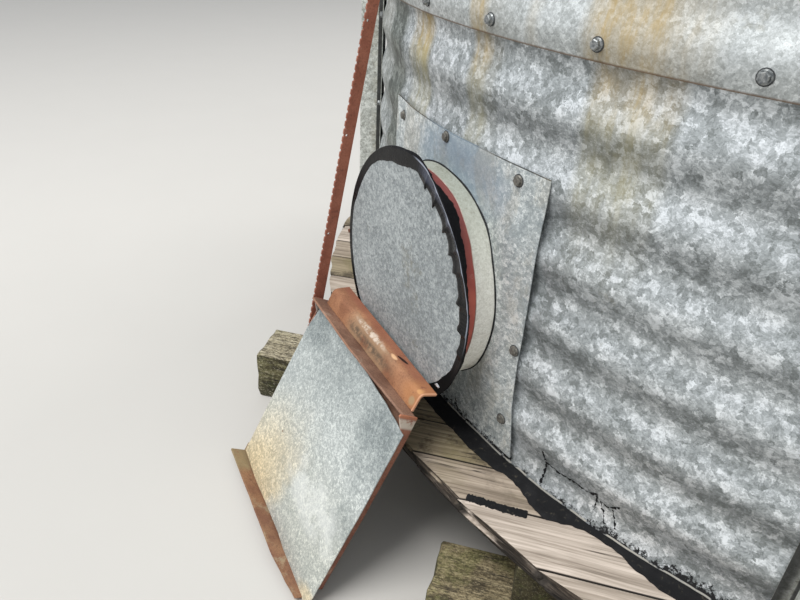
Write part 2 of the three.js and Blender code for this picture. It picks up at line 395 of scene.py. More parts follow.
# Leafy zinc crystals: a flat tone for each crystal with ferns inside it
def buildSpangle():
    group, (vector, size, leaf), leave = makeGroup("zincSpangle", {"Size": 45.0, "Leaf": 0.4}, ["Crystal", "Fern"])
    warp = noiseOf(vector, times(size, 1.7), 3.0, 0.65, output="Color")
    centred = vectors("SUBTRACT", warp, (0.5, 0.5, 0.5))
    bent = vectors("ADD", vector, vectors("SCALE", centred, calc("DIVIDE", leaf, size)))
    broad, large, small = [fed("TexVoronoi", {"Vector": bent, "Scale": scale})["Color"]
                           for scale in (times(size, 0.45), size, times(size, 2.4))]
    spin = vectors("SCALE", large, 6.28)
    rolled = fed("VectorRotate", {"Vector": vector, "Rotation": spin}, rotation_type="EULER_XYZ")[0]
    fern = noiseOf(stretched(rolled, 1.0, 1.0, 0.2), times(size, 5.0), 3.0, 0.6)
    mixed = plus(*[times(fed("SeparateColor", {0: colour})[0], share)
                   for colour, share in ((large, 0.42), (small, 0.30), (broad, 0.28))])
    group.links.new(mixed, leave["Crystal"])
    group.links.new(fern, leave["Fern"])
    return group


# Thin upright runs, as rain leaves them on a wall
def buildRuns():
    group, (vector, scale, length), leave = makeGroup("uprightRuns", {"Scale": 40.0, "Length": 0.06}, ["Mask"])
    pulled = fed("CombineXYZ", {"X": 1.0, "Y": 1.0, "Z": length})[0]
    thin = noiseOf(vectors("MULTIPLY", vector, pulled), scale, 4.0, 0.6)
    group.links.new(spread(thin, 0.38, 0.68), leave["Mask"])
    return group


# Weathered boards: X runs along the grain
def buildGrain():
    group, (vector, scale), leave = makeGroup("woodGrain", {"Scale": 1.0}, ["Grain", "Crack", "Height"])
    vector = vectors("SCALE", vector, scale)
    swirl = noiseOf(stretched(vector, 2.0, 6.0, 6.0), 1.0, 2.0, output="Color")
    bent = vectors("ADD", vector, vectors("SCALE", swirl, 0.035))
    fine = noiseOf(stretched(bent, 5.0, 190.0, 190.0), 1.0, 4.0, 0.6)
    broad = noiseOf(stretched(bent, 2.0, 48.0, 48.0), 1.0, 3.0, 0.6)
    grain = plus(times(fine, 0.55), times(broad, 0.45))
    split = noiseOf(stretched(bent, 1.6, 62.0, 62.0), 1.0, 2.0, 0.5)
    line = calc("ABSOLUTE", minus(split, 0.5))
    where = noiseOf(stretched(vector, 4.0, 14.0, 14.0), 1.0, 2.0)
    crack = times(spread(line, 0.014, 0.002), spread(where, 0.47, 0.62))
    for label, value in (("Grain", grain), ("Crack", crack), ("Height", minus(grain, times(crack, 1.6)))):
        group.links.new(value, leave[label])
    return group


# Patches with ragged edges, for rust, moss, chips and dirt
def buildPatches():
    group, (vector, scale, amount), leave = makeGroup("raggedPatches", {"Scale": 10.0, "Amount": 0.5},
                                                      ["Mask", "Grit"])
    broad = noiseOf(vector, scale, 5.0, 0.62, 0.3)
    grit = noiseOf(vector, times(scale, 14.0), 3.0, 0.6)
    summed = plus(broad, times(minus(grit, 0.5), 0.22))
    level = minus(0.78, times(amount, 0.56))
    group.links.new(calc("ADD", times(minus(summed, level), 9.0), 0.5, clamp=True), leave["Mask"])
    group.links.new(grit, leave["Grit"])
    return group


spangle, runs, grain, patches = buildSpangle(), buildRuns(), buildGrain(), buildPatches()
print("shared effects built")


def patchy(place, scale, amount):
    return useGroup(patches, Vector=place, Scale=scale, Amount=amount)["Mask"]


# Angle round the silo in degrees from the inlet, and height
def roundAndUp(place):
    x, y, height = xyz(place)
    return times(calc("ARCTAN2", x, times(y, -1.0)), degreesPerRadian), height


# Places in a piece's own frame, in metres
def placesIn(place, own):
    sockets = {"Vector": place, "Location": own.translation, "Rotation": own.to_euler()}
    return xyz(fed("Mapping", sockets, vector_type="TEXTURE")[0])


# A soft spot round a place in a plane
def spotAt(x, y, centre, reach):
    away = [calc("DIVIDE", minus(value, middle), size) for value, middle, size in zip((x, y), centre, reach)]
    return spread(squares(*away), 1.0, 0.15)


galvanised = {
    "lowerWall": {"size": 84.0, "leaf": 1.1, "dark": (124, 129, 128), "middle": (170, 175, 176),
                  "light": (232, 236, 238), "fern": 0.8, "rough": (0.40, 0.60), "metal": 0.45,
                  "cloud": 0.30, "dirt": 0.10, "tar": 0.030, "bandShade": 0.34, "side": 0.95, "sideShadeTone": (154, 157, 148),
                  "streaks": [(-24.0, 0), (-21.0, .30), (-15.0, .26), (-14.0, 0), (-8.0, 0), (-6.9, .7), (-5.4, .95),
                              (-3.9, 1.0), (-3.2, 0), (2.2, 0), (2.8, .7), (4.0, .7), (4.8, .2),
                              (6.0, 0), (12.6, 0), (13.4, .8), (15.0, .6), (16.4, .95), (17.0, .4),
                              (17.6, .7), (18.6, 0)],
                  "streakTop": (0.72, 1.08)},
    "upperWall": {"size": 210.0, "leaf": 0.55, "dark": (156, 160, 158), "middle": (186, 190, 189),
                  "light": (222, 226, 225), "fern": 0.45, "rough": (0.42, 0.58), "metal": 0.45,
                  "cloud": 0.35, "dirt": 0.10, "lapLine": True,
                  "bandShade": 0.2, "side": 0.7, "sideShadeTone": (186, 188, 176),
                  "streaks": [(1.9, 0), (2.6, 1), (3.5, .95), (4.2, .15), (7.5, 0), (8.2, .3), (9.0, 0), (11.6, 0),
                              (12.4, .6), (13.4, 1), (15.4, .95), (16.6, 1), (17.4, .4), (18.5, .3), (20.0, 0)]},
    "plate": {"size": 150.0, "leaf": 1.0, "dark": (146, 154, 156), "middle": (184, 191, 191),
              "light": (240, 244, 242), "fern": 1.2, "rough": (0.42, 0.6), "metal": 0.4,
              "cloud": 0.3, "dirt": 0.18, "tar": 0.062, "rim": 0.9187, "blue": True},
    "cover": {"size": 210.0, "leaf": 0.9, "dark": (124, 129, 130), "middle": (152, 158, 159),
              "light": (190, 195, 195), "fern": 0.55, "rough": (0.5, 0.7), "metal": 0.35,
              "cloud": 0.3, "dirt": 0.12},
    "stiffener": {"size": 170.0, "leaf": 0.9, "dark": (152, 153, 145), "middle": (200, 203, 196),
                  "light": (236, 238, 232), "fern": 0.7, "rough": (0.45, 0.65), "metal": 0.35,
                  "cloud": 0.3, "dirt": 0.22, "corner": True},
    "collar": {"size": 300.0, "leaf": 0.7, "dark": (212, 210, 198), "middle": (232, 230, 219),
               "light": (248, 247, 238), "fern": 0.6, "rough": (0.5, 0.7), "metal": 0.1,
               "cloud": 0.2, "dirt": 0.34, "shadedTop": True},
    "panel": {"size": 260.0, "leaf": 0.8, "dark": (158, 164, 162), "middle": (186, 191, 188),
              "light": (232, 236, 231), "fern": 1.0, "rough": (0.42, 0.62), "metal": 0.35,
              "cloud": 0.3, "dirt": 0.08, "tan": True},
    "roof": {"size": 60.0, "leaf": 0.9, "dark": (150, 155, 157), "middle": (184, 189, 190),
             "light": (224, 228, 228), "fern": 0.4, "rough": (0.42, 0.6), "metal": 0.45,
             "cloud": 0.35, "dirt": 0.15},
}


def makeGalvanised(name):
    look = galvanised[name]
    material, shader, place = newMaterial("galvanised_" + name)
    crystal = useGroup(spangle, Vector=place, Size=look["size"], Leaf=look["leaf"])
    cloud = noiseOf(place, 5.0, 3.0, 0.55)
    value = plus(crystal["Crystal"], times(minus(crystal["Fern"], 0.5), look["fern"]))
    value = plus(value, times(minus(cloud, 0.5), look["cloud"] * 2))
    colour = ramped(value, [(0.12, look["dark"]), (0.5, look["middle"]), (0.88, look["light"])])
    roughness = spread(value, 0.1, 0.9, look["rough"][1], look["rough"][0])
    dirt = times(patchy(place, 7.0, look["dirt"]), 0.5)
    colour = over(colour, (128, 122, 100), dirt)
    masks = [dirt]
    angle, height = roundAndUp(place)
    if "streaks" in look:
        span = 40
        stops = [((where + span) / span / 2, strength) for where, strength in look["streaks"]]
        columns = ramped(spread(angle, -span, span, kind="LINEAR"), stops)
        elsewhere = calc("GREATER_THAN", calc("ABSOLUTE", angle), 32.0)
        wide = noiseOf(stretched(place, 1, 1, 0.02), 9.0, 2.0)
        wide = times(spread(wide, 0.56, 0.68), elsewhere)
        thin = useGroup(runs, Vector=place, Scale=60.0, Length=0.05)["Mask"]
        amount = plus(times(wide, 0.7), columns)
        stained = times(amount, plus(times(thin, 0.5), 0.5))
        if "streakTop" in look:
            stained = times(stained, spread(height, *look["streakTop"]))
        mask = calc("MULTIPLY", stained, 0.88, clamp=True)
        high = spread(height, 1.0, 1.09)
        colour = over(colour, over((154, 144, 96), (166, 140, 80), high), mask)
        masks.append(mask)
        # Painted shade: each corrugation is darkened on its lower, downward-facing slope
        phase = times(minus(height, deckTop + waveCrest), 2 * math.pi / waveLength)
        under = spread(calc("SINE", phase), 0.35, -0.95)
        colour = over(colour, (132, 138, 142), under, look["bandShade"], mode="MULTIPLY")
        # Painted shade: a darker upright band on the wall left of the inlet, within a broader, weaker darkening
        sideShade = plus(band(angle, -8.4, -11.2, -13.4, -15.4), times(spread(angle, -6.0, -12.0), 0.35))
        sideShade = times(sideShade, spread(angle, -40.0, -30.0))
        colour = over(colour, look["sideShadeTone"], calc("MULTIPLY", sideShade, look["side"], clamp=True), mode="MULTIPLY")
    if look.get("lapLine"):
        ring = calc("MODULO", minus(height, deckTop + firstLap - ringCover), ringCover)
        edge = spread(ring, 0.0045, 0.0005)
        colour = over(colour, (96, 74, 52), edge, 0.9)
        masks.append(edge)
    # Tan stains and a painted highlight on the stand's panel
    if look.get("tan"):
        colour, tanMask = panelStainsAndHighlight(place, colour)
        masks.append(tanMask)
    # Painted shade: a dark line along the plate's top edge, where the gap behind it lies in shadow
    if look.get("rim"):
        rim = spread(height, look["rim"] - 0.0004, look["rim"] + 0.0004)
        colour = over(colour, (58, 58, 56), rim)
        masks.append(rim)
    # Painted shade: the collar darkens towards its top, under the taped rim
    if look.get("shadedTop"):
        colour = over(colour, (170, 174, 168), spread(height, 0.62, 0.86), mode="MULTIPLY")
    if look.get("blue"):
        blue = spotAt(xyz(place)[0], height, (0.06, 0.855), (0.20, 0.10))
        colour = over(colour, (158, 180, 198), blue, 0.6)
        warm = patchy(stretched(place, 1, 1, 0.5), 16.0, 0.42)
        colour = over(colour, (176, 162, 134), warm, 0.22)
    # A stain towards the outer face, and painted shade: near black on the side legs just above the feet, where they
    # stand in shadow
    if look.get("corner"):
        out = calc("SQRT", squares(*xyz(place)[:2]))
        inner = band(out, 1.5807, 1.5813, 1.5925, 1.5955)
        stain = times(patchy(place, 34.0, 0.5), spread(out, 1.618, 1.600))
        colour = layered(colour, ((146, 138, 112), stain, 0.3), ((24, 25, 24), inner, 0.95))
        masks.append(inner)
    covered = reduce(lambda first, second: calc("MAXIMUM", first, second), masks)
    metallic = spread(covered, 0.0, 0.8, look["metal"], 0.0)
    roughness = calc("ADD", roughness, times(covered, 0.25), clamp=True)
    if look.get("tar"):
        tarred = tarOnWall(place, height, colour, roughness, metallic, look["tar"], not look.get("rim"))
        colour, roughness, metallic = tarred
    wire(shader, colour, roughness, value, 0.0006, 0.35, metallic)
    return material


# Brush marks of tar along the foot of the wall, thick below the pale line where the sheet ends, ragged above it
def tarOnWall(place, height, colour, roughness, metallic, reach, seam):
    wander = noiseOf(place, 13.0, 2.0)
    ragged = noiseOf(place, 95.0, 6.0, 0.8)
    broad = noiseOf(place, 11.0, 2.0)
    lineAt = plus(times(wander, 0.011), deckTop + 0.0035)
    above = minus(height, lineAt)
    density = plus(ragged, times(minus(broad, 0.5), 0.55))
    density = minus(density, times(above, 0.30 / reach))
    mask = spread(density, 0.405 if seam else 0.43, 0.44 if seam else 0.465)
    if seam:
        mask = calc("MAXIMUM", mask, spread(above, -0.0012, -0.0022))
        line = times(band(above, -0.0024, -0.0016, 0.0016, 0.0024), spread(noiseOf(place, 26.0, 3.0), 0.42, 0.47))
        colour = over(colour, (204, 200, 188), line, 0.9)
        mask = times(mask, minus(1.0, line))
    colour = over(colour, (20, 20, 21), mask)
    bare = minus(1.0, mask)
    return colour, plus(times(roughness, bare), times(mask, 0.85)), times(metallic, bare)


# The stand's panel: bluish at the top, white at the foot, a painted highlight low across its middle, tan down its
# left side and at its lowest corner
def panelStainsAndHighlight(place, colour):
    x, y, _ = placesIn(place, standFrame)
    ragged = noiseOf(place, 13.0, 5.0, 0.7)
    shift = minus(ragged, 0.5)
    colour = layered(colour, ((172, 180, 184), spread(y, 0.25, 0.46), 0.5), ((255, 252, 245), spread(y, 0.30, 0.12)),
                     mode="MULTIPLY")
    for centre, reach, strength in (((0.44, 0.38), (0.09, 0.13), 0.75), ((0.475, 0.20), (0.055, 0.06), 0.7),
                                    ((0.03, 0.44), (0.11, 0.07), 0.8)):
        dull = times(spotAt(x, y, centre, reach), spread(ragged, 0.30, 0.55))
        colour = over(colour, (200, 204, 206), dull, strength, mode="MULTIPLY")
    # Painted highlight: a pale patch low across the middle of the panel
    paintedHighlight = times(spotAt(x, y, (0.36, 0.155), (0.20, 0.075)), spread(ragged, 0.36, 0.58))
    colour = over(colour, (240, 242, 238), paintedHighlight, 0.45)
    right = plus(times(x, 0.72), y)
    down = minus(x, times(y, 0.974))
    right = plus(right, times(shift, 0.22))
    low = plus(down, times(right, 0.6))
    mask = times(spread(right, 0.50, 0.06), spread(down, -0.25, 0.03))
    mask = times(mask, spread(low, 0.35, 0.26), spread(ragged, 0.16, 0.44))
    bent = plus(y, times(shift, 0.07))
    low = times(spotAt(x, bent, (0.50, 0.0), (0.07, 0.045)), 0.8)
    mask = calc("MAXIMUM", mask, low)
    colour = over(colour, (255, 231, 196), mask, mode="MULTIPLY")
    fleck = spotAt(x, y, (0.118, 0.167), (0.0035, 0.003))
    return over(colour, (110, 72, 50), fleck), mask


# Rusty steel. Spots lie on the stand, as (centre, reach, colour, strength) in its own X and Y.
rusty = {
    "redOxide": {"base": (138, 80, 60), "second": (158, 98, 76), "dark": (94, 56, 44), "pale": (186, 150, 130),
                 "paleAmount": 0.14},
    "side": {"base": (134, 84, 66), "second": (158, 106, 84), "dark": (88, 54, 42), "pale": (196, 164, 138),
             "paleAmount": 0.26, "spots": [((0.484, 0.469), (0.03, 0.014), (206, 196, 180), 0.85),
                                           ((0.484, 0.486), (0.03, 0.005), (176, 112, 78), 0.7),
                                           ((0.0, 0.466), (0.03, 0.020), (176, 176, 170), 0.6)]},
    "shelf": {"base": (112, 80, 63), "second": (144, 110, 90), "dark": (80, 54, 42), "pale": (178, 160, 144),
              "paleAmount": 0.24, "lip": 0.0232},
    "orange": {"base": (136, 90, 62), "second": (166, 118, 84), "dark": (96, 62, 46), "pale": (168, 148, 124),
               "paleAmount": 0.10, "wearAndHighlight": True, "end": 0.4634,
               "spots": [((0.455, 0.515), (0.065, 0.035), (182, 126, 80), 0.6),
                         ((0.452, 0.529), (0.010, 0.005), (206, 154, 100), 0.6),
                         ((0.448, 0.504), (0.012, 0.012), (160, 142, 108), 0.7)]},
    "brown": {"base": (124, 84, 62), "second": (146, 108, 78), "dark": (84, 58, 44), "pale": (170, 158, 128),
              "paleAmount": 0.3, "spots": [((0.02, 0.0), (0.07, 0.05), (146, 136, 100), 0.6)]},
}


def makeRusty(name):
    look = rusty[name]
    material, shader, place = newMaterial("rust_" + name)
    broad = noiseOf(place, 14.0, 4.0, 0.6)
    fine = noiseOf(place, 240.0, 6.0, 0.78)
    pits = noiseOf(place, 420.0, 2.0, 0.6)
    colour = over(look["base"], look["second"], spread(broad, 0.36, 0.64))
    colour = layered(colour, (look["dark"], spread(fine, 0.46, 0.72), 0.8),
                     (look["pale"], patchy(place, 22.0, look["paleAmount"]), 0.5),
                     ((74, 44, 34), patchy(place, 40.0, 0.2), 0.6))
    x, y, z = placesIn(place, standFrame)
    mottle = noiseOf(place, 70.0, 5.0, 0.7)
    if look.get("wearAndHighlight"):
        inRun = band(x, 0.11, 0.17, 0.29, 0.38)
        pale = times(inRun, spread(z, -0.0255, -0.0225), spread(broad, 0.30, 0.50))
        colour = over(colour, (150, 128, 100), pale, 0.6)
        dirty = times(band(y, 0.492, 0.502, 0.509, 0.519), inRun, spread(mottle, 0.34, 0.58))
        colour = over(colour, (84, 70, 56), dirty, 0.85)
        # Whitish crest of the ridge: partly worn metal, partly a painted highlight
        crest = times(spotAt(x, y, (0.225, 0.528), (0.085, 0.0075)), spread(mottle, 0.40, 0.62))
        colour = layered(colour, ((214, 200, 184), crest, 0.75), ((128, 72, 52), spread(z, -0.026, -0.040), 0.6))
        rubbed = times(spotAt(x, z, (0.327, -0.0275), (0.016, 0.0055)), spread(y, 0.522, 0.526))
        colour = layered(colour, ((228, 184, 140), rubbed, 0.8),
                         ((228, 176, 146), spread(x, look["end"] - 0.0045, look["end"] - 0.0015), 0.85))
    for centre, reach, colourThere, strength in look.get("spots", ()):
        there = times(spotAt(x, y, centre, reach), spread(mottle, 0.30, 0.46))
        colour = over(colour, colourThere, there, strength)
    # Painted highlight: a thin lighter line along the shelf's front edge
    if look.get("lip"):
        colour = over(colour, (160, 116, 90), spread(z, look["lip"] - 0.0006, look["lip"] + 0.0006), 0.5)
    wire(shader, colour, spread(fine, 0.2, 0.8, 0.60, 0.90), plus(fine, times(pits, 0.6)), 0.0012, 0.6)
    return material


def makeRedPaint():
    material, shader, place = newMaterial("dusty_red_paint")
    broad = noiseOf(place, 16.0, 4.0, 0.6)
    colour = over((158, 70, 60), (182, 94, 78), spread(broad, 0.35, 0.65))
    dust = useGroup(patches, Vector=place, Scale=30.0, Amount=0.2)
    colour = over(colour, (190, 138, 122), dust["Mask"], 0.5)
    low = xyz(place)[2]
    colour = layered(colour, ((132, 88, 66), patchy(place, 34.0, 0.42), spread(low, 0.64, 0.56), 0.5),
                     ((22, 20, 20), spread(low, 0.484, 0.470), 0.96), ((84, 44, 44), spread(low, 0.66, 0.80), 0.7))
    wire(shader, colour, spread(broad, 0.3, 0.7, 0.5, 0.75), dust["Grit"], 0.0006, 0.4)
    return material


# Black tar, tape and sealant: a tone, the least and the greatest roughness, bump, specular level and dust
blackLooks = {"black_tape": ((9, 9, 11), 0.20, 0.36, 0.0012, 0.12, 0.02),
              "brushed_tar": ((24, 24, 25), 0.75, 0.95, 0.0040, 0.16, 0.20),
              "dark_sealant": ((30, 32, 33), 0.55, 0.8, 0.0008, 0.25, 0.12)}


def makeBlack(name, base, roughLow, roughHigh, bump, gloss, dusty):
    material, shader, place = newMaterial(name)
    shader["Specular IOR Level"].default_value = gloss
    broad = noiseOf(place, 26.0, 4.0, 0.6)
    fine = noiseOf(place, 210.0, 3.0, 0.6)
    grey = tuple(part * 1.5 + 0.004 for part in tone(base)[:3]) + (1.0,)
    colour = over(base, grey, spread(broad, 0.42, 0.72))
    colour = over(colour, (104, 98, 84), patchy(place, 90.0, dusty), 0.4)
    rough = spread(broad, 0.3, 0.7, roughLow, roughHigh)
    if name == "black_tape":
        x, _, z = placesIn(place, inletFrame)
        reach = calc("SQRT", squares(x, z))
        forward = spread(normalParts(place)[1], -0.35, -0.60)
        # Painted highlight: a light line along the pinched crest of the tape on the upper right
        crest = times(band(reach, 0.2604, 0.2612, 0.2624, 0.2632), spread(x, 0.01, 0.05), spread(z, -0.05, 0.02))
        colour = over(colour, (134, 138, 148), crest, forward, spread(broad, 0.30, 0.50))
        # Painted reflection: a bluish sheen on the tape's face just inside the crest, upper right; painted shade: the
        # tape turns near black towards its bottom
        sheen = times(band(reach, 0.238, 0.250, 0.2590, 0.2612), spread(x, 0.03, 0.08), spread(z, 0.13, 0.19))
        colour = layered(colour, ((72, 76, 90), sheen, forward, spread(broad, 0.25, 0.55), 0.8),
                         ((4, 4, 4), spread(z, -0.08, -0.13), 0.85))
        gleam = times(forward, spread(z, -0.13, -0.05))
        rough = plus(rough, spread(gleam, 1.0, 0.0, 0.0, 0.6))
    wire(shader, colour, rough, plus(times(broad, 1.2), times(fine, 0.35)), bump, 0.6)
    return material


# Grey weathered boards: the grain runs with the boards and each board has its own tone
def makeBoardWood():
    material, shader, place = newMaterial("weathered_boards")
    alongGrain = rolled(place, -boardAngle)
    boardTone = attribute(place, "boardTone")
    offset = fed("CombineXYZ", {"X": times(boardTone, 7.0), "Y": boardTone, "Z": boardTone})[0]
    wood = useGroup(grain, Vector=vectors("ADD", alongGrain, offset), Scale=1.0)
    colour = ramped(wood["Grain"], [(0.25, (100, 92, 80)), (0.45, (162, 152, 138)), (0.6, (204, 194, 180)),
                                    (0.8, (238, 230, 220))])
    warm = ramped(boardTone, [(0.0, (186, 178, 150)), (0.5, (214, 206, 198)), (1.0, (255, 250, 250))])
    colour = over(colour, warm, 1.0, mode="MULTIPLY")
    colour = layered(colour, ((108, 100, 66), patchy(place, 5.0, 0.42), spread(boardTone, 0.85, 0.1), 0.5),
                     ((52, 42, 30), patchy(place, 12.0, 0.30), spread(boardTone, 0.7, 0.2), 0.75),
                     ((44, 36, 26), wood["Crack"], 0.85))
    seam = attribute(place, "boardSeam")
    colour = over(colour, (26, 21, 16), spread(seam, 0.15, 0.8), 0.92)
    upward = normalParts(place)[2]
    end = spread(calc("ABSOLUTE", upward), 0.6, 0.25)
    rot = noiseOf(stretched(alongGrain, 14, 22, 210), 1.0, 5.0, 0.7)
    endColour = ramped(rot, [(0.38, (26, 21, 16)), (0.5, (66, 56, 46)), (0.6, (104, 92, 80)), (0.7, (186, 172, 156))])
    level = xyz(place)[2]
    endColour = over(endColour, (20, 16, 12), spread(level, deckTop - 0.010, deckTop - 0.040), 0.8)
    colour = over(colour, endColour, end, spread(seam, 0.9, 0.4))
    height = plus(wood["Height"], times(rot, end, 2.0))
    wire(shader, colour, spread(wood["Grain"], 0.3, 0.7, 0.95, 0.82), height, 0.0022, 0.7)
    return material


# The turn that brings the grain onto X, and the dark, middle and light tones
mossyLooks = {"mossy_outer_sleepers": (-boardAngle, (40, 34, 24), (112, 100, 74), (176, 162, 128)),
              "mossy_sleepers": (-boardAngle, (56, 48, 36), (156, 146, 120), (214, 204, 178)),
              "mossy_bearers": (90 - boardAngle, (52, 46, 34), (100, 90, 70), (140, 130, 106))}


def makeMossyWood(name, angle, dark, middle, light):
    material, shader, place = newMaterial(name)
    alongGrain = rolled(place, angle)
    wood = useGroup(grain, Vector=alongGrain, Scale=0.85)
    colour = ramped(wood["Grain"], [(0.25, dark), (0.5, middle), (0.78, light)])
    moss = useGroup(patches, Vector=place, Scale=9.0, Amount=0.40)
    speck = noiseOf(stretched(alongGrain, 70, 150, 150), 1.0, 4.0, 0.8)
    colour = over(colour, light, spread(speck, 0.52, 0.62), 0.5)
    blotch = noiseOf(stretched(alongGrain, 16, 42, 42), 1.0, 6.0, 0.8)
    colour = layered(colour, ((38, 32, 22), spread(blotch, 0.50, 0.60), 0.8), ((104, 104, 58), moss["Mask"], 0.5))
    deepMoss = patchy(place, 16.0, 0.28)
    upward = normalParts(place)[2]
    side = spread(calc("ABSOLUTE", upward), 0.8, 0.3)
    colour = over(colour, (140, 146, 96), side, 0.8, mode="MULTIPLY")
    colour = over(colour, (70, 82, 30), deepMoss, side, 0.8)
    level = xyz(place)[2]
    damp = times(side, spread(level, 0.085, 0.015))
    colour = over(colour, (34, 36, 18), damp, 0.75)
    grit = noiseOf(stretched(alongGrain, 130, 240, 240), 1.0, 3.0, 0.8)
    colour = layered(colour, ((54, 46, 30), spread(grit, 0.50, 0.40), 0.7), (light, spread(grit, 0.54, 0.64), 0.4),
                     ((34, 28, 20), wood["Crack"], 0.9))
    height = plus(wood["Height"], times(moss["Grit"], 0.6))
    wire(shader, colour, spread(wood["Grain"], 0.3, 0.7, 0.98, 0.85), height, 0.0028, 0.75)
    return material


# Two tones, the least and the greatest roughness, metal and the size of the pattern
plainLooks = {"dull_bolt_zinc": ((96, 100, 102), (160, 162, 160), 0.35, 0.6, 0.6, 240.0),
              "stained_bolt": ((84, 82, 76), (128, 124, 116), 0.5, 0.75, 0.4, 200.0),
              "washer_rubber": ((44, 46, 48), (66, 68, 68), 0.6, 0.8, 0.0, 120.0),
              "raw_sheet_edge": ((150, 132, 122), (182, 166, 154), 0.5, 0.7, 0.1, 90.0),
              "rusty_nut": ((84, 52, 40), (134, 84, 60), 0.7, 0.9, 0.0, 260.0),
              # Near black, painted shade for the inside of the ridge's slot
              "painted_slot_shade": ((26, 15, 11), (52, 30, 22), 0.8, 0.95, 0.0, 200.0),
              "crumpled_foil": ((196, 200, 204), (232, 236, 240), 0.25, 0.4, 0.7, 160.0)}


def makePlain(name, low, high, roughLow, roughHigh, metal, scale):
    material, shader, place = newMaterial(name)
    broad = noiseOf(place, scale, 4.0, 0.6)
    colour = over(low, high, spread(broad, 0.32, 0.68))
    shader["Metallic"].default_value = metal
    wire(shader, colour, spread(broad, 0.3, 0.7, roughHigh, roughLow), broad, 0.0004, 0.5)
    return material


zinc = {name: makeGalvanised(name) for name in galvanised}
rust = {name: makeRusty(name) for name in rusty}
redPaint = makeRedPaint()
black = {name: makeBlack(name, *look) for name, look in blackLooks.items()}
boardWood = makeBoardWood()
mossyWood = {name: makeMossyWood(name, *look) for name, look in mossyLooks.items()}
plain = {name: makePlain(name, *look) for name, look in plainLooks.items()}
print("materials built")


# Camera, floor and soft light

view = {"place": (1.15695, -2.20869, 1.29582), "turn": (59.48884, -2.43085, 65.90711), "lens": 30.373}
studio = {"floorSize": 30.0, "floor": (196, 193, 187), "sky": (236, 240, 246), "skyStrength": 0.75,
          "lamps": [("overhead", (0.6, -5.0, 7.6), (0.3, -1.4, 0.5), 4.0, 620.0),
                    ("rear", (-2.5, 6.0, 7.6), (0.0, 1.4, 1.5), 4.0, 420.0)]}


def makeCamera():
    data = bpy.data.cameras.new("photoView")
    data.lens = view["lens"]
    data.sensor_width = 36.0
    data.clip_start = 0.02
    camera = linked("photoView", data)
    camera.location = view["place"]
    camera.rotation_euler = [deg(angle) for angle in view["turn"]]
    bpy.context.scene.camera = camera


def makeStage():
    bm = bmesh.new()
    bmesh.ops.create_grid(bm, x_segments=2, y_segments=2, size=studio["floorSize"] / 2)
    material, shader, place = newMaterial("paleFloor")
    low = tuple(part * 0.97 for part in tone(studio["floor"])[:3]) + (1.0,)
    material.node_tree.links.new(over(low, studio["floor"], noiseOf(place, 3.0, 3.0)), shader["Base Color"])
    shader["Roughness"].default_value = 0.9
    floor = linked("floor", meshFrom(bm, "floor"))
    floor.data.materials.append(material)
    floor.location.z = -0.0005
    world = bpy.data.worlds.new("softSky")
    world.use_nodes = True
    sky = world.node_tree.nodes["Background"]
    sky.inputs["Color"].default_value = tone(studio["sky"])
    sky.inputs["Strength"].default_value = studio["skyStrength"]
    bpy.context.scene.world = world
    for name, place, target, size, power in studio["lamps"]:
        lamp = bpy.data.lights.new(name, "AREA")
        lamp.size = size
        lamp.energy = power
        holder = linked(name, lamp)
        holder.location = place
        holder.rotation_euler = (Vector(target) - Vector(place)).to_track_quat("-Z", "Y").to_euler()
    bpy.context.scene.view_settings.view_transform = "Standard"


makeCamera()
makeStage()
print("camera and stage set")


# Corrugated wall

wall = {"swell": 0.00635, "row": 0.0122, "sheet": 0.0015, "steps": 81, "top": 3.4395, "tuck": 0.060,
        "lapRise": 0.0024, "lapFade": 0.10, "sideLap": 1.5, "sideTuck": 0.0022, "dent": 0.0010, "dentScale": 3.2,
        "hole": 0.250}


# How far the wall's middle line stands from the axis at a height above the deck
def wallLine(height):
    return wallRadius + wall["swell"] * math.cos(2 * math.pi * (height - waveCrest) / waveLength)


# How far a sheet's lower end stands out over the one below it
def lapLift(above):
    return wall["lapRise"] * (1 - smooth(above / wall["lapFade"]))


def nearInlet(point, reach):
    inside = inletFrame.inverted() @ point
    return math.hypot(inside.x, inside.z) < reach


def makeSheet(ring, number, finish):
    bottom = 0.0 if ring == 1 else firstLap + (ring - 2) * ringCover
    top = wall["top"] if ring == 4 else firstLap + (ring - 1) * ringCover + wall["tuck"]
    rows = round((top - bottom) / wall["row"])
    points = []
    for index in range(rows + 1):
        height = bottom + (top - bottom) * index / rows
        lift = lapLift(height - bottom) if ring > 1 else 0.0
        points.append((wallLine(height) + lift + wall["sheet"] / 2, deckTop + height))
    start = firstSeam + (60 if ring % 2 == 0 else 0) + 120 * (number - 1)
    bm = turned(points, wall["steps"], False, start, 120 + wall["sideLap"])
    for vert in bm.verts:
        past = (angleOf(vert.co) - start) % 360
        past = 0 if past > 300 else past
        tuck = wall["sideTuck"] * smooth((past - 119.2) / 0.9)  # the next sheet lies over this end
        dent = wobble(vert.co, wall["dentScale"], wall["dent"], ring + 3 * number)
        vert.co += flat(vert.co).normalized() * (dent * (1 - smooth((past - 116) / 3)) * smooth(past / 4) - tuck)
    if ring == 1 and number == 1:
        holed = [face for face in bm.faces if nearInlet(face.calc_center_median(), wall["hole"])]
        bmesh.ops.delete(bm, geom=holed, context="FACES")
    faceOut(bm, lambda face: face.normal.dot(flat(face.calc_center_median())))
    thicken(bm, wall["sheet"])
    name = f"wall_ring_{ring}_sheet_{number}"
    return makePiece("corrugated_" + name, bm, [finish], [name])


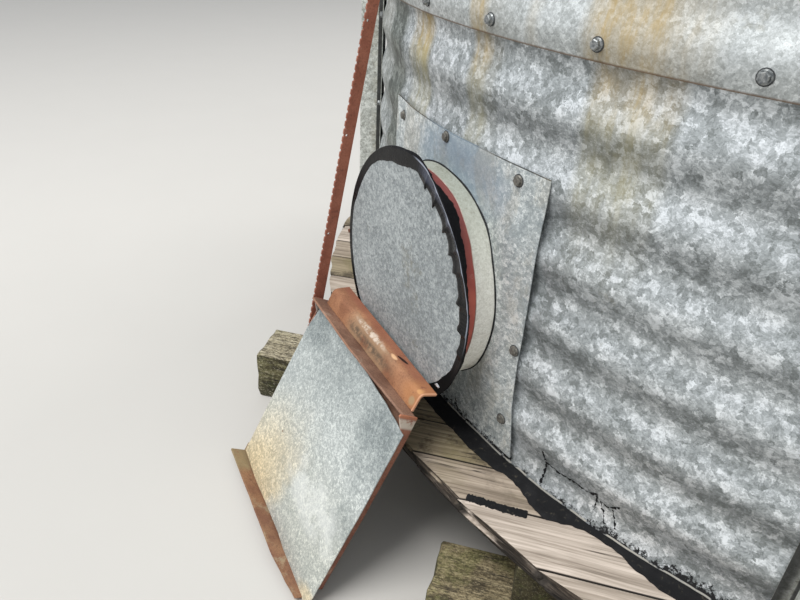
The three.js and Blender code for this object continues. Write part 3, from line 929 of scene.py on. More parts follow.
# A hexagon head on a domed washer, with a dark sealing ring under it.
# Each level holds its lower and upper radius, its foot, its height and its sides.
boltLevels = [(0.0115, 0.0115 * 0.96, 0.0, 0.0016, 14), (0.0098, 0.0080, 0.0016, 0.0024, 14),
              (0.0080, 0.0080, 0.0040, 0.0055, 6)]


def makeBolt():
    bm = bmesh.new()
    for index, (low, high, bottom, height, sides) in enumerate(boltLevels):
        made = addCone(bm, low, high, height, sides, Matrix.Translation((0, 0, bottom + height / 2)))
        for face in {face for vert in made for face in vert.link_faces}:
            face.material_index = 1 if index == 0 else 0
    rim = max(vert.co.z for vert in bm.verts)
    bevelled(bm, [edge for edge in bm.edges if all(vert.co.z > rim - 1e-5 for vert in edge.verts)], 0.0012)
    return meshFrom(bm, "bolt")


wallBolts = {"first": -4.06, "count": 42, "aboveLap": 0.025, "top": 3.405, "skip": 2.4}


def makeBolts(name, template, places, finishes):
    bm = bmesh.new()
    addCopies(bm, template, places)
    return makePiece(name, bm, finishes)


def placeWallBolts(template, finishes):
    places = []
    rows = [firstLap + index * ringCover + wallBolts["aboveLap"] for index in range(3)] + [wallBolts["top"]]
    for row, height in enumerate(rows):
        for index in range(wallBolts["count"]):
            angle = wallBolts["first"] + index * 360 / wallBolts["count"]
            nearest = min(abs((angle - other + 180) % 360 - 180) for other in stiffenerAngles)
            if nearest < wallBolts["skip"]:
                continue
            lift = lapLift(wallBolts["aboveLap"]) if row < 3 else 0.0
            radius = wallLine(height) + lift + wall["sheet"] / 2 - 0.0004
            places.append(wallPlace(angle, deckTop + height, radius) @ turn(37 * index + 11 * row, "Z"))
    return makeBolts("wall_bolts", template, places, finishes)


# Hat-shaped stiffeners, bolted to the crests

# Swaps the inner corners of an open path of points for short arcs
def roundedPath(points, radius, steps=4):
    path = [Vector(points[0])]
    for before, corner, after in zip(points, points[1:], points[2:]):
        before, corner, after = Vector(before), Vector(corner), Vector(after)
        into, onward = (corner - before).normalized(), (after - corner).normalized()
        half = into.angle(onward, 0.0) / 2
        reach = radius * math.tan(half)
        first, last = corner - into * reach, corner + onward * reach
        for index in range(steps + 1):
            part = index / steps
            path.append(first.lerp(corner, part).lerp(corner.lerp(last, part), part))
    return path + [Vector(points[-1])]


# Bends a strip to a path of (z, y) points and runs it along X. Its thickness lies to the left of the path
# for someone who follows it with z to the right and y ahead
def folded(points, bend, start, end, thickness, lengths, ease):
    bm = bmesh.new()
    path = roundedPath(points, bend)
    _, edges = polyline(bm, [(start, point.y, point.x) for point in path])
    for _ in range(lengths):
        made = bmesh.ops.extrude_edge_only(bm, edges=edges)
        bmesh.ops.translate(bm, vec=((end - start) / lengths, 0, 0), verts=fresh(made, bmesh.types.BMVert))
        edges = fresh(made, bmesh.types.BMEdge)
    recalculated(bm)
    ahead = path[1] - path[0]
    face = min(bm.faces, key=lambda item: (item.calc_center_median() - Vector((start, path[0].y, path[0].x))).length)
    if face.normal.z * ahead.y - face.normal.y * ahead.x < 0:
        bmesh.ops.reverse_faces(bm, faces=bm.faces)
    thicken(bm, thickness)
    bm.normal_update()
    bevelled(bm, sharpEdges(bm), ease, 1, True)
    return bm


stiffenerLook = {"web": 0.050, "depth": 0.0625, "foot": 0.0245, "sheet": 0.0020, "bend": 0.004, "inner": 1.5786,
                 "bottom": 0.340, "top": 3.650, "lengths": 26, "warp": 0.0006}


def makeStiffener(index, finish):
    look = stiffenerLook
    half, foot, depth = look["web"] / 2, look["foot"], look["depth"]
    path = [(0, -half - foot), (0, -half), (depth, -half), (depth, half), (0, half), (0, half + foot)]
    bm = folded(path, look["bend"], look["bottom"], look["top"], look["sheet"], look["lengths"], 0.0005)
    low = min(vert.co.z for vert in bm.verts)
    bmesh.ops.translate(bm, vec=(0, 0, -low), verts=bm.verts)
    shaken(bm, 2.0, look["warp"], index)
    out = around(1, stiffenerAngles[index], 0)
    stood = Matrix((Vector((0, 0, 1)), Vector((-out.y, out.x, 0)), out)).transposed().to_4x4()
    moveAll(bm, Matrix.Translation(out * look["inner"]) @ stood)
    recalculated(bm)
    name = f"stiffener_{index + 1}"
    return makePiece("folded_" + name, bm, [finish], [name])


stiffenerBolts = {"first": 0.2354, "pitch": 0.244, "count": 13, "across": 0.0375}


def placeStiffenerBolts(template, finishes):
    places = []
    radius = stiffenerLook["inner"] + stiffenerLook["sheet"] - 0.0002
    for angle in stiffenerAngles:
        for index in range(stiffenerBolts["count"]):
            height = deckTop + stiffenerBolts["first"] + index * stiffenerBolts["pitch"]
            for side in (-1, 1):
                shift = Matrix.Translation((side * stiffenerBolts["across"], 0, 0))
                places.append(wallPlace(angle, height, radius) @ shift @ turn(29 * index + 13 * side, "Z"))
    return makeBolts("stiffener_bolts", template, places, finishes)


# Cone roof in six sectors, each of four ribbed panels

roof = {"steps": 72, "pitch": 30.0, "wallTop": 3.7323, "outer": 1.578, "eave": 1.6485, "neck": 0.236, "lift": 0.009,
        "sheet": 0.0012, "panel": 15.0, "rib": 0.022, "ribFoot": 0.026, "ribTop": 0.012, "narrow": 0.42, "rows": 13,
        "ribFull": 0.345, "ribEnd": 0.315, "lip": 0.030, "sag": 0.0014}


def roofHeight(radius):
    return roof["wallTop"] + (roof["outer"] - radius) * math.tan(deg(roof["pitch"])) + roof["lift"]


def makeRoofSector(number, finish):
    first = (number - 1.5) * 60
    stations = []
    for panel in range(4):
        middle = first + (panel + 0.5) * roof["panel"]
        for across, rise in ((-roof["ribFoot"], 0), (-roof["ribTop"], 1), (roof["ribTop"], 1), (roof["ribFoot"], 0)):
            stations.append((middle, across, rise))
    stations = [(first, 0, 0)] + stations + [(first + 60, 0, 0)]
    flats = []
    for before, after in zip(stations, stations[1:]):
        flats.append((before, before, 0.0))
        if before[0] != after[0]:
            flats += [(before, after, part) for part in (0.25, 0.5, 0.75)]
    flats.append((stations[-1], stations[-1], 0.0))

    def spot(station, radius, drop):
        before, after, part = station
        rise = before[2] * smooth((radius - roof["ribEnd"]) / (roof["ribFull"] - roof["ribEnd"]))
        taper = roof["narrow"] + (1 - roof["narrow"]) * (radius - roof["neck"]) / (roof["eave"] - roof["neck"])
        low = before[0] + math.degrees(before[1] * taper / radius)
        angle = low + (after[0] + math.degrees(after[1] * taper / radius) - low) * part
        body = smooth((radius - roof["neck"]) / 0.2) * smooth((roof["eave"] - radius) / 0.1)
        sag = roof["sag"] * noise.noise(around(radius, angle, 0) * 2.2) * body
        return around(radius, angle, roofHeight(radius) + rise * roof["rib"] * taper - drop + sag)

    eave, lip, ease = roof["eave"], roof["lip"], 0.003
    run = [(eave - 0.010, lip + 0.004), (eave, lip), (eave, 0.004), (eave - ease, 0.0)]
    for row in range(1, roof["rows"] + 1):
        run.append((eave - ease + (roof["ribFull"] - eave + ease) * row / roof["rows"], 0.0))
    run += [(roof["ribEnd"], 0.0), (roof["neck"], 0.0)]
    bm = bmesh.new()
    verts, edges = polyline(bm, [spot(station, *run[0]) for station in flats])
    for radius, drop in run[1:]:
        made = bmesh.ops.extrude_edge_only(bm, edges=edges)
        edges = fresh(made, bmesh.types.BMEdge)
        added = fresh(made, bmesh.types.BMVert)
        order = {}
        for edge in bm.edges:
            pair = [vert for vert in edge.verts if vert in added]
            if len(pair) == 1:
                order[edge.other_vert(pair[0])] = pair[0]
        verts = [order[vert] for vert in verts]
        for vert, station in zip(verts, flats):
            vert.co = spot(station, radius, drop)
    cleaned(bm)
    faceOut(bm, lambda face: face.normal.z * face.calc_area())
    thicken(bm, roof["sheet"])
    name = f"roof_sector_{number}"
    return makePiece("ribbed_" + name, bm, [finish], [name])


neckLook = {"outer": 0.2345, "bottom": 4.4867, "top": 4.6097, "flange": 0.300, "sheet": 0.0022, "roll": 0.0045}
lidLook = {"radius": 0.2535, "seat": 4.6105, "rise": 0.042, "skirt": 0.037, "sheet": 0.0016, "roll": 0.003}


def arcPoints(centre, radius, first, last, steps):
    angles = [deg(first + (last - first) * index / steps) for index in range(steps + 1)]
    return [(centre[0] + radius * math.cos(angle), centre[1] + radius * math.sin(angle)) for angle in angles]


def makeNeck(finish):
    look = neckLook
    outer, roll = look["outer"], look["roll"]
    lip = arcPoints((outer - roll, look["top"] - roll), roll, 190, 0, 8)
    bm = turned(lip + [(outer, look["bottom"] + 0.02), (outer - 0.0006, look["bottom"])], roof["steps"], False)
    thicken(bm, look["sheet"])
    rest = [(radius, roofHeight(radius) + roof["sheet"] + 0.0024) for radius in (outer + 0.0035, look["flange"])]
    knee = (outer + 0.0003, rest[0][1] + 0.012)
    skirt = turned([(outer + 0.0003, rest[0][1] + 0.03), knee, rest[0], rest[1]], roof["steps"], False)
    faceOut(skirt, lambda face: face.normal.z)
    thicken(skirt, look["sheet"])
    bm.from_mesh(meshFrom(skirt))
    return makePiece("rolled_neck", bm, [finish], ["roof_neck"])


def makeLid(finish):
    look = lidLook
    top = look["seat"] + look["rise"] + 0.0015
    shoulder = look["seat"] + 0.004
    points = [(0.0, top), (0.02, top), (0.03, top - 0.001)]
    for index in range(1, 7):
        part = index / 7
        points.append((0.03 + (look["radius"] - 0.036) * part, top - 0.001 - (top - 0.001 - shoulder) * part))
    points += [(look["radius"] - 0.003, shoulder), (look["radius"], shoulder - 0.004),
               (look["radius"], shoulder - look["skirt"] + 0.004)]
    points += arcPoints((look["radius"], shoulder - look["skirt"]), look["roll"] * 0.6, 90, -120, 6)
    bm = turned(points, roof["steps"], False)
    thicken(bm, look["sheet"])
    return makePiece("domed_lid", bm, [finish], ["roof_lid"])


# Air inlet: plate, seal, collar, red flange and cover

plate = {"rows": 40, "steps": 72, "left": -9.6, "right": 11.5, "bottom": 0.327, "top": 0.920, "outer": 1.5806,
         "sheet": 0.0017, "hole": 0.2272, "proud": 0.0028,
         "bolts": [(-0.2098, 0.5868), (0.0224, 0.608), (0.247, 0.5957), (0.302, 0.279), (0.2935, 0.1065),
                   (-0.250, 0.270), (-0.250, 0.111)],
         "rightEdge": [(0.32, 12.0), (0.36, 11.87), (0.399, 11.73), (0.454, 11.5), (0.509, 11.4), (0.545, 11.37),
                       (0.617, 11.5), (0.715, 11.475), (0.92, 11.63)]}
collarLook = {"outer": 0.2263, "inner": 0.2240, "back": -0.028, "front": 0.0600,
              "joint": [(-30, 0), (8, 5.5), (28, 8.5), (40, 5.5), (48, 4), (62, 0)]}
flangeLook = {"outer": 0.2545, "neck": 0.2252, "sheet": 0.0038, "back": 0.0603, "front": 0.0980}
coverLook = {"radius": 0.2575, "back": 0.0982, "sheet": 0.0022, "wave": 0.0016}
sealLook = {"radius": 0.2268, "bead": 0.0024, "swell": 0.35}
inletSteps = 120
inletDepth = 0.05  # from the inlet's own frame back to where its profiles start
inletTurn = Matrix.Translation((0, inletDepth, 0)) @ turn(90, "X")


# A place round the duct: the angle runs from the top towards +X
def inletSpot(radius, angle, out):
    return Vector((radius * math.sin(angle), inletDepth - out, radius * math.cos(angle)))


def inletTurned(points, closed=True):
    return moveAll(turned(points, inletSteps, closed), inletTurn)


# The plate stands off the wall beside the collar on the right, and a little above it
def plateRaise(x, z):
    side = smooth((x - 0.150) / 0.075) * (1 - 0.75 * smooth((x - 0.228) / 0.064))
    side *= 1 - smooth((abs(z) - 0.150) / 0.110)
    crown = smooth((z - 0.15) / 0.04) * (1 - smooth((x - 0.02) / 0.08)) * smooth((x + 0.26) / 0.10)
    return 0.0142 * side + 0.0040 * crown


def plateRadius(point):
    inside = inletFrame.inverted() @ point
    angle, height = angleOf(point), point.z - deckTop
    edge = smooth((angle - 9.8) / 1.7) + 0.6 * smooth((plate["left"] + 1.2 - angle) / 1.2)
    lift = edge * plate["proud"] * (0.45 + 0.55 * math.sin(15.0 * height) ** 2) + plateRaise(inside.x, inside.z)
    return plate["outer"] + max(lift + wobble(point, 4.0, 0.0006, 4), -0.0002)


def makePlate(finish):
    rows, low, high = plate["rows"], plate["bottom"], plate["top"]
    points = [(plate["outer"], low + (high - low) * index / rows) for index in range(rows + 1)]
    bm = turned(points, plate["steps"], False, plate["left"], plate["right"] - plate["left"])
    for vert in bm.verts:
        part = (angleOf(vert.co) - plate["left"]) / (plate["right"] - plate["left"])
        angle = plate["left"] + (along(plate["rightEdge"], vert.co.z) - plate["left"]) * part
        vert.co = around(plateRadius(around(plate["outer"], angle, vert.co.z)), angle, vert.co.z)
    faceOut(bm, lambda face: -face.normal.y)
    thicken(bm, plate["sheet"])
    cutter = bmesh.new()
    addCone(cutter, plate["hole"], plate["hole"], 0.5, 128, inletFrame @ turn(90, "X"))
    bm = combined(bm, cutter)
    return makePiece("bent_inlet_plate", bm, [finish], ["inlet_plate"])


def placePlateBolts(template, finishes):
    spots = [around(plate["outer"], math.degrees(arc / wallRadius), deckTop + height)
             for arc, height in plate["bolts"]]
    places = [wallPlace(angleOf(spot), spot.z, plateRadius(spot) + 0.0002)
              @ turn(50 * index, "Z") @ Matrix.Diagonal((1.05, 1.05, 0.75, 1))
              for index, spot in enumerate(spots)]
    return makeBolts("plate_bolts", template, places, finishes)


# Dark bead where the collar passes through the plate
def makeCollarSeal(finish):
    bm = bmesh.new()
    bmesh.ops.create_circle(bm, segments=8, radius=sealLook["bead"], matrix=turn(90, "X"))
    moveAll(bm, Matrix.Translation((sealLook["radius"], 0, 0)))
    spun(bm, bm.verts[:] + bm.edges[:], 160)
    moveAll(bm, inletTurn)
    for vert in bm.verts:
        angle = math.atan2(vert.co.x, vert.co.z)
        spot = inletSpot(sealLook["radius"], angle, inletDepth)
        away = 0.0
        for _ in range(3):
            world = inletFrame @ inletSpot(sealLook["radius"], angle, away)
            away += plateRadius(world) - math.hypot(world.x, world.y)
        swell = 1 + sealLook["swell"] * noise.noise(spot * 30)
        middle = Vector((0, inletDepth, 0))
        vert.co = spot + middle + (vert.co - spot - middle) * swell - Vector((0, away, 0))
    moveAll(bm, inletFrame)
    return makePiece("collar_seal", recalculated(bm), [finish])


# The joint of collar and flange lies a little nearer the wall at the upper right
def jointShift(vert):
    return along(collarLook["joint"], math.degrees(math.atan2(vert.co.x, vert.co.z))) * mm


def makeCollar(finishes):
    look = collarLook
    points = [(look["inner"], look["back"]), (look["outer"], look["back"]), (look["outer"], look["front"] - 0.0008),
              (look["outer"] - 0.0006, look["front"]), (look["inner"] + 0.0006, look["front"]),
              (look["inner"], look["front"] - 0.0008)]
    bm = inletTurned(points)
    for face in bm.faces:
        if face.calc_center_median().y < inletDepth - look["front"] + 0.0006:
            face.material_index = 1
    for vert in bm.verts:
        if vert.co.y < inletDepth - look["front"] + 0.002:
            vert.co.y += jointShift(vert)
    moveAll(bm, inletFrame)
    return makePiece("inlet_collar_tube", bm, finishes, ["inlet_collar"])


def makeFlange(finish):
    look = flangeLook
    inner, back = look["neck"] - look["sheet"], look["front"] - look["sheet"]
    points = [(inner, look["back"]), (look["neck"], look["back"]), (look["neck"], back - 0.012),
              (look["neck"] + 0.0008, back - 0.004), (look["neck"] + 0.004, back), (look["outer"] - 0.0008, back),
              (look["outer"], back + 0.0008), (look["outer"], look["front"] - 0.0006),
              (look["outer"] - 0.0008, look["front"]), (inner, look["front"])]
    bm = inletTurned(points)
    for vert in bm.verts:
        if vert.co.y > inletDepth - look["back"] - 0.0005:
            vert.co.y += jointShift(vert)
        vert.co += Vector((vert.co.x, 0, vert.co.z)).normalized() * wobble(vert.co, 9.0, 0.0005, 2)
    moveAll(bm, inletFrame)
    return makePiece("red_flange", bm, [finish], ["inlet_flange"])


def makeCover(finish):
    look = coverLook
    front = look["back"] + look["sheet"]
    points = [(look["radius"] * index / 14, front) for index in range(14)] + [(look["radius"], front)]
    bm = inletTurned(points, False)
    for vert in bm.verts:
        x, _, z = vert.co
        inside = 1 - smooth(math.hypot(x, z) / look["radius"]) ** 2
        vert.co.y -= (noise.noise(Vector((x, 0, z)) * 5) + 0.25) * look["wave"] * inside
    faceOut(bm, lambda face: -face.normal.y)
    thicken(bm, look["sheet"] * 0.9)
    moveAll(bm, inletFrame)
    return makePiece("inlet_cover_disc", bm, [finish], ["inlet_cover"])


# Black tape pinched over the cover's rim, its inner edge drawn into short barbs on the right side.
# Each list holds (angle from the top towards +X, value in millimetres).
# Rows up to foldRow lie on the face, the next on the bulge, then one outside and the rest on the back.
tape = {"steps": 900, "sheet": 0.0009, "face": 101.0, "rows": 16, "rowStep": 0.0001, "foldRow": 9, "fold": 261.6,
        "bulge": 263.4, "outer": 264.6, "backDraw": 6.2,
        "edge": [(-180, 246), (-120, 252), (-77, 252), (-67, 246), (-55, 245), (-42, 246), (-35, 243), (-20, 234),
                 (-8, 228.5), (-2, 231), (3, 236), (9, 239.2), (14, 234), (22.6, 231), (33, 226.5), (45, 225.5),
                 (51, 223.5), (60, 225), (67, 230), (82, 233), (88, 236), (92.4, 245), (103, 245.3), (112, 244.6),
                 (126, 238.4), (140, 236), (155, 240), (180, 246)],
        "ridge": [(-180, 101), (-90, 101.5), (-40, 102), (-10, 100), (0, 99), (9, 98), (16, 100), (22, 104),
                  (33, 109), (42, 109), (55, 107.7), (64, 106.6), (70, 105), (78, 101), (84, 99.5), (97, 101),
                  (110, 102), (125, 101.2), (150, 101), (180, 101)],
        "back": [(-180, 90), (-110, 91), (-60, 91), (-30, 88), (0, 84), (16, 93.7), (23, 97), (28, 92.4), (31, 90),
                 (35, 83.5), (40, 84.5), (45, 87.4), (50, 91.3), (58, 92), (65, 96.4), (69, 98), (74, 97), (82, 95),
                 (95, 94), (105, 91), (116, 94.5), (132, 94.5), (145, 91), (180, 90)],
        "barbs": [(18.4, 8.5), (28.8, 12.5), (43, 12.5), (54.3, 11), (63, 11), (77.5, 12.5), (90, 10.5), (101, 5)],
        "barbReach": (4.8, 1.1), "foldReach": (6.5, 2.5)}


# How deep the barbs reach at an angle, in millimetres. They end sharply on the lower side.
def barbAt(angle, before, after, power):
    return max(depth * max(0.0, 1 - max((place - angle) / before, (angle - place) / after)) ** power
               for place, depth in tape["barbs"])


def makeTape(finish):
    rows, foldRow, face, outer = tape["rows"], tape["foldRow"], tape["face"], tape["outer"]
    bm = turned([(0.24, tape["rowStep"] * row) for row in range(rows + 1)], tape["steps"], False)
    for vert in bm.verts:
        row = round(vert.co.z / tape["rowStep"])
        angle = 180 - (angleOf(vert.co) % 360)
        ragged = ringNoise(angle, 9, 3)
        fine = ringNoise(angle, 34, 7)
        right = smooth((angle - 4) / 10) * (1 - smooth((angle - 98) / 10))
        edge = along(tape["edge"], angle) - barbAt(angle, *tape["barbReach"], 1.5) + 0.9 * ragged + 0.5 * fine
        ridge = along(tape["ridge"], angle) + 0.5 * ragged
        back = along(tape["back"], angle) + (2.2 * ragged + 1.6 * fine) * (0.35 + 0.65 * right)
        crown, start = max(ridge - face, 0), max(ridge - 0.8, face - 3)
        wrinkle = barbAt(angle, *tape["foldReach"], 1.6) * 0.32 + right * abs(fine) * 1.2
        if row <= foldRow:
            part = row / foldRow
            radius = edge + (tape["fold"] - edge) * part
            lifted = face + 0.3 + wrinkle * (1 - 0.5 * part) * smooth(part * 5) + crown * smooth((part - 0.45) / 0.55)
            lifted = max(lifted if row else lifted - 0.4, face)
        elif row == foldRow + 1:
            radius, lifted = tape["bulge"], max(ridge + 0.4, face - 2)
        else:
            part = (row - foldRow - 2) / (rows - foldRow - 2)
            radius = outer - tape["backDraw"] * part ** 0.8 + 0.9 * ragged * part
            lifted = start + (min(back, start - 2) - start) * part
        vert.co = around(radius * mm, 180 - angle, lifted * mm)
    recalculated(bm)
    faceOut(bm, lambda face: face.normal.z)
    thicken(bm, tape["sheet"])
    moveAll(bm, inletFrame @ inletTurn)
    return makePiece("pinched_tape", bm, [finish], ["inlet_band"])


# A rusty screw beside the tape on the left and a scrap of foil stuck to the cover, low on the right
scraps = {"screw": (0.2665, -93.0), "shank": (0.0032, 0.0032, 0.088, 0.013, 12),
          "head": (0.0056, 0.0050, 0.0985, 0.0045, 6), "foil": (0.247, 130.5, 0.1012), "foilSize": 0.0060}


def makeScraps(finishes):
    bm = bmesh.new()
    radius, angle = scraps["screw"]
    for low, high, bottom, height, sides in (scraps["shank"], scraps["head"]):
        middle = Matrix.Translation(inletSpot(radius, deg(angle), bottom + height / 2))
        addCone(bm, low, high, height, sides, middle @ turn(90, "X"))
    moveAll(bm, inletFrame)
    makePiece("band_screw", bm, [finishes[0]])
    bm = bmesh.new()
    radius, angle, face = scraps["foil"]
    bmesh.ops.create_icosphere(bm, subdivisions=3, radius=scraps["foilSize"])
    for vert in bm.verts:
        crumple = 1 + 0.9 * noise.noise(vert.co * 380) + 0.5 * noise.noise(vert.co * 900)
        x, y, z = vert.co * crumple
        vert.co = inletSpot(radius, deg(angle), face) + Vector((x, -max(y * 0.30, -0.0001), z * 0.62))
    moveAll(recalculated(bm), inletFrame)
    return makePiece("foil_scrap", bm, [finishes[1]])


# Leaning stand: X runs across, Y up the slope and Z outwards from the panel's face

standLook = {"columns": 44, "rows": 40, "width": 0.480, "behind": -0.0043, "top": 0.463, "panel": 0.0030,
             "panelWarp": 0.0016, "sideSheet": 0.004, "sideLeg": 0.026, "sideBack": 0.030, "gusset": 0.018,
             "shelfTop": 0.488, "shelfFront": 0.0245, "shelfBack": -0.0255, "shelfDrop": 0.045, "sheet": 0.005,
             "ridgeTop": 0.530, "ridgeFront": -0.0208, "ridgeBack": -0.0584, "inset": 0.016, "ridgeBend": 0.011,
             "footFront": 0.0305, "footHeight": 0.030, "overhang": 0.010,
             "slot": (0.3407, -0.0435, 0.036, 0.0036, -13), "ridgeTurn": 0.028, "ridgeShift": -0.0014,
             "ridgeRise": (0.0150, 0.0080),
             "lip": [(0, 24.5), (230, 24.5), (290, 21.5), (343, 18.3), (400, 13.8), (454, 9.5), (480, 8.2)],
             "footEdge": [(-10, 34), (194, 33.2), (348, 32.6), (422, 25), (480, 17)]}

# Outline of the panel in millimetres: its sides by height and its ends by distance across
panelLines = {"left": [(-10, 1), (20, 1), (200, -1), (403, 0), (468, 12), (480, 16)],
              "right": [(-10, 509.5), (40, 508), (245, 506), (394, 501), (453, 498), (480, 497)],
              "bottom": [(-5, 13), (113, 6), (211, 8), (290, 9), (380, 1.5), (515, 1.2)],
              "top": [(-5, 474), (228, 473.4), (397, 464), (448, 459.3), (498, 452.7), (515, 451)]}


def makePanel(finish):
    look = standLook
    bm = bmesh.new()
    bmesh.ops.create_grid(bm, x_segments=look["columns"], y_segments=look["rows"], size=0.5)
    for vert in bm.verts:
        partX, partY = vert.co.x + 0.5, vert.co.y + 0.5
        y = 470 * partY
        for _ in range(4):
            left, right = along(panelLines["left"], y), along(panelLines["right"], y)
            x = left + (right - left) * partX
            low, high = along(panelLines["bottom"], x), along(panelLines["top"], x)
            y = low + (high - low) * partY
        x, y = x * mm, y * mm
        inner = smooth(min(x, look["width"] - x) / 0.12)
        corner = smooth((y - look["top"] + 0.05) / 0.05) * smooth((x - look["width"] + 0.05) / 0.05)
        lift = noiseAt(x * 6, y * 6, 2) * look["panelWarp"] * inner
        vert.co = Vector((x, y, -0.0005 + lift - 0.0008 * corner))
    thicken(bm, look["panel"])
    bevelled(bm, sharpEdges(bm), 0.0005)
    moveAll(bm, standFrame)
    return makePiece("standing_panel", bm, [finish], ["stand_panel"])


def makeSideAngle(name, finish, mirrored):
    look = standLook
    sheet, leg, rise = look["sideSheet"], look["sideLeg"], look["footHeight"] + 0.0003
    top, gusset = look["shelfTop"], look["gusset"]
    outline = [(rise, -leg - 0.010), (rise, -0.0042), (top - 0.035, -0.0042), (top - 0.008, gusset - 0.0035),
               (top - 0.004, gusset - 0.0005), (top, gusset - 0.003), (top, -leg), (top - 0.048, -leg - 0.004),
               (0.225, -leg - 0.010)]
    bm = slab(outline, -sheet - 0.0003, sheet)
    backLeg = bmesh.new()
    high = top - look["shelfDrop"] - 0.0003
    addBlock(backLeg, ((look["sideBack"] - sheet) / 2, (high + rise) / 2, look["behind"] - sheet / 2),
             (look["sideBack"] + sheet, high - rise, sheet))
    bm = cleaned(combined(bm, backLeg, "UNION"))
    bevelled(bm, sharpEdges(bm, 50), 0.0009, 2, True)
    cutAt(bm, 1, [0.02 * step + 0.01 for step in range(1, 24)])
    shaken(bm, 14, 0.0005, 3 if mirrored else 8)
    if mirrored:
        moveAll(bm, Matrix.Translation((look["width"], 0, 0)) @ Matrix.Diagonal((-1, 1, 1, 1)))
        recalculated(bm)
    moveAll(bm, standFrame)
    return makePiece("rusty_" + name, bm, [finish], [name])


def makeStandAngles(finishes):
    look = standLook
    width, top, inset, drop = look["width"], look["shelfTop"], look["inset"], look["shelfDrop"]
    front, rear, crest = look["ridgeFront"], look["ridgeBack"], look["ridgeTop"]
    heel = look["behind"] - look["sheet"]
    shelf = [(look["shelfFront"], top), (look["shelfBack"], top), (look["shelfBack"], top - drop)]
    ridge = [(front, top + 0.0003), (front, crest), (rear, crest)]
    foot = [(heel, look["footHeight"]), (heel, 0), (look["footFront"], 0)]
    angles = {"shelf": (shelf, 0.005, 0, width, 21),
              "top": (ridge, look["ridgeBend"], inset, width - inset, 31),
              "foot": (foot, 0.004, -look["overhang"], width, 41)}
    for name, (path, bend, start, end, seed) in angles.items():
        bm = folded(path, bend, start, end, look["sheet"], 40, 0.0008)
        if name == "top":
            across, back, length, half, lean = look["slot"]
            cutter = bmesh.new()
            addCone(cutter, half, half, 0.03, 24, Matrix.Diagonal((length / 2 / half, 1, 1, 1)))
            moveAll(cutter, Matrix.Translation((across, crest, back)) @ turn(90, "X") @ turn(lean, "Z"))
            bm = combined(bm, cutter)
            # The slot's walls take the second finish, a near-black painted shade for the dark inside of the slot
            for face in bm.faces:
                middle = face.calc_center_median()
                near = math.hypot(middle.x - across, middle.z - back) < length * 0.56
                if near and abs(face.normal.y) < 0.3 and middle.z < front - 0.012:
                    face.material_index = 1
        for vert in bm.verts:
            if name == "shelf" and vert.co.z > 0:
                vert.co.z *= along(look["lip"], vert.co.x * 1000) * mm / look["shelfFront"]
            if name == "top":
                left, right = look["ridgeRise"]
                rise = left + (right - left) * (vert.co.x - 0.100) / 0.364
                behind = max(0.0, front - vert.co.z) / (front - rear)
                vert.co.y += rise * behind * smooth((vert.co.y - 0.505) / 0.018)
                vert.co.z += look["ridgeShift"] + look["ridgeTurn"] * (width - inset - vert.co.x)
            if name == "foot" and vert.co.z > -0.003:
                vert.co.y *= 1 - 0.8 * smooth((vert.co.x - 0.300) / 0.080)
                if vert.co.z > 0:
                    vert.co.z *= along(look["footEdge"], vert.co.x * 1000) * mm / look["footFront"]
        shaken(bm, 16, 0.0007, seed)
        moveAll(bm, standFrame)
        node = f"stand_{name}_angle"
        makePiece("rusty_" + node, bm, [finishes[name], finishes["slot"]], [node])


# Notched bar, with bites along its front edge

barFrame = Matrix.Translation((-0.251, -1.8355, 0)) @ turn(-10.93, "X")
barLook = {"thickness": 0.006, "width": 0.026, "length": 1.464, "pitch": 0.0175, "bite": 0.0023, "biteLength": 0.0064,
           "first": 0.035, "holes": [1.0969, 0.8525, 0.6131, 0.3700, 1.3400], "holeAcross": 0.0082, "hole": 0.0030}


def makeBar(finish):
    look = barLook
    edge = -look["width"]
    points = [(0, 0), (0, look["length"]), (edge, look["length"])]
    place = look["length"] - look["first"]
    while place > look["first"]:
        for across, depth in ((0.5, 0), (0.43, 0.75), (0.24, 1), (-0.24, 1), (-0.43, 0.75), (-0.5, 0)):
            points.append((edge + look["bite"] * depth, place + look["biteLength"] * across))
        place -= look["pitch"]
    points.append((edge, 0))
    bm = slab(points, 0, look["thickness"])
    bmesh.ops.triangulate(bm, faces=[item for item in bm.faces if len(item.verts) > 4])
    cutter = bmesh.new()
    for height in look["holes"]:
        middle = Matrix.Translation((look["thickness"] / 2, edge + look["holeAcross"], height))
        addCone(cutter, look["hole"], look["hole"], 0.03, 20, middle @ turn(90, "Y"))
    bm = cleaned(combined(bm, cutter), 0.00001)
    rims = [item for item in sharpEdges(bm) if abs(item.verts[0].co.x - item.verts[1].co.x) < 1e-6]
    bevelled(bm, rims, 0.0004, 1, True)
    moveAll(bm, barFrame)
    return makePiece("bar_with_notches", bm, [finish], ["notched_bar"])


# Timber deck: boards, bearers and sleepers. X runs along the boards, Y across them.

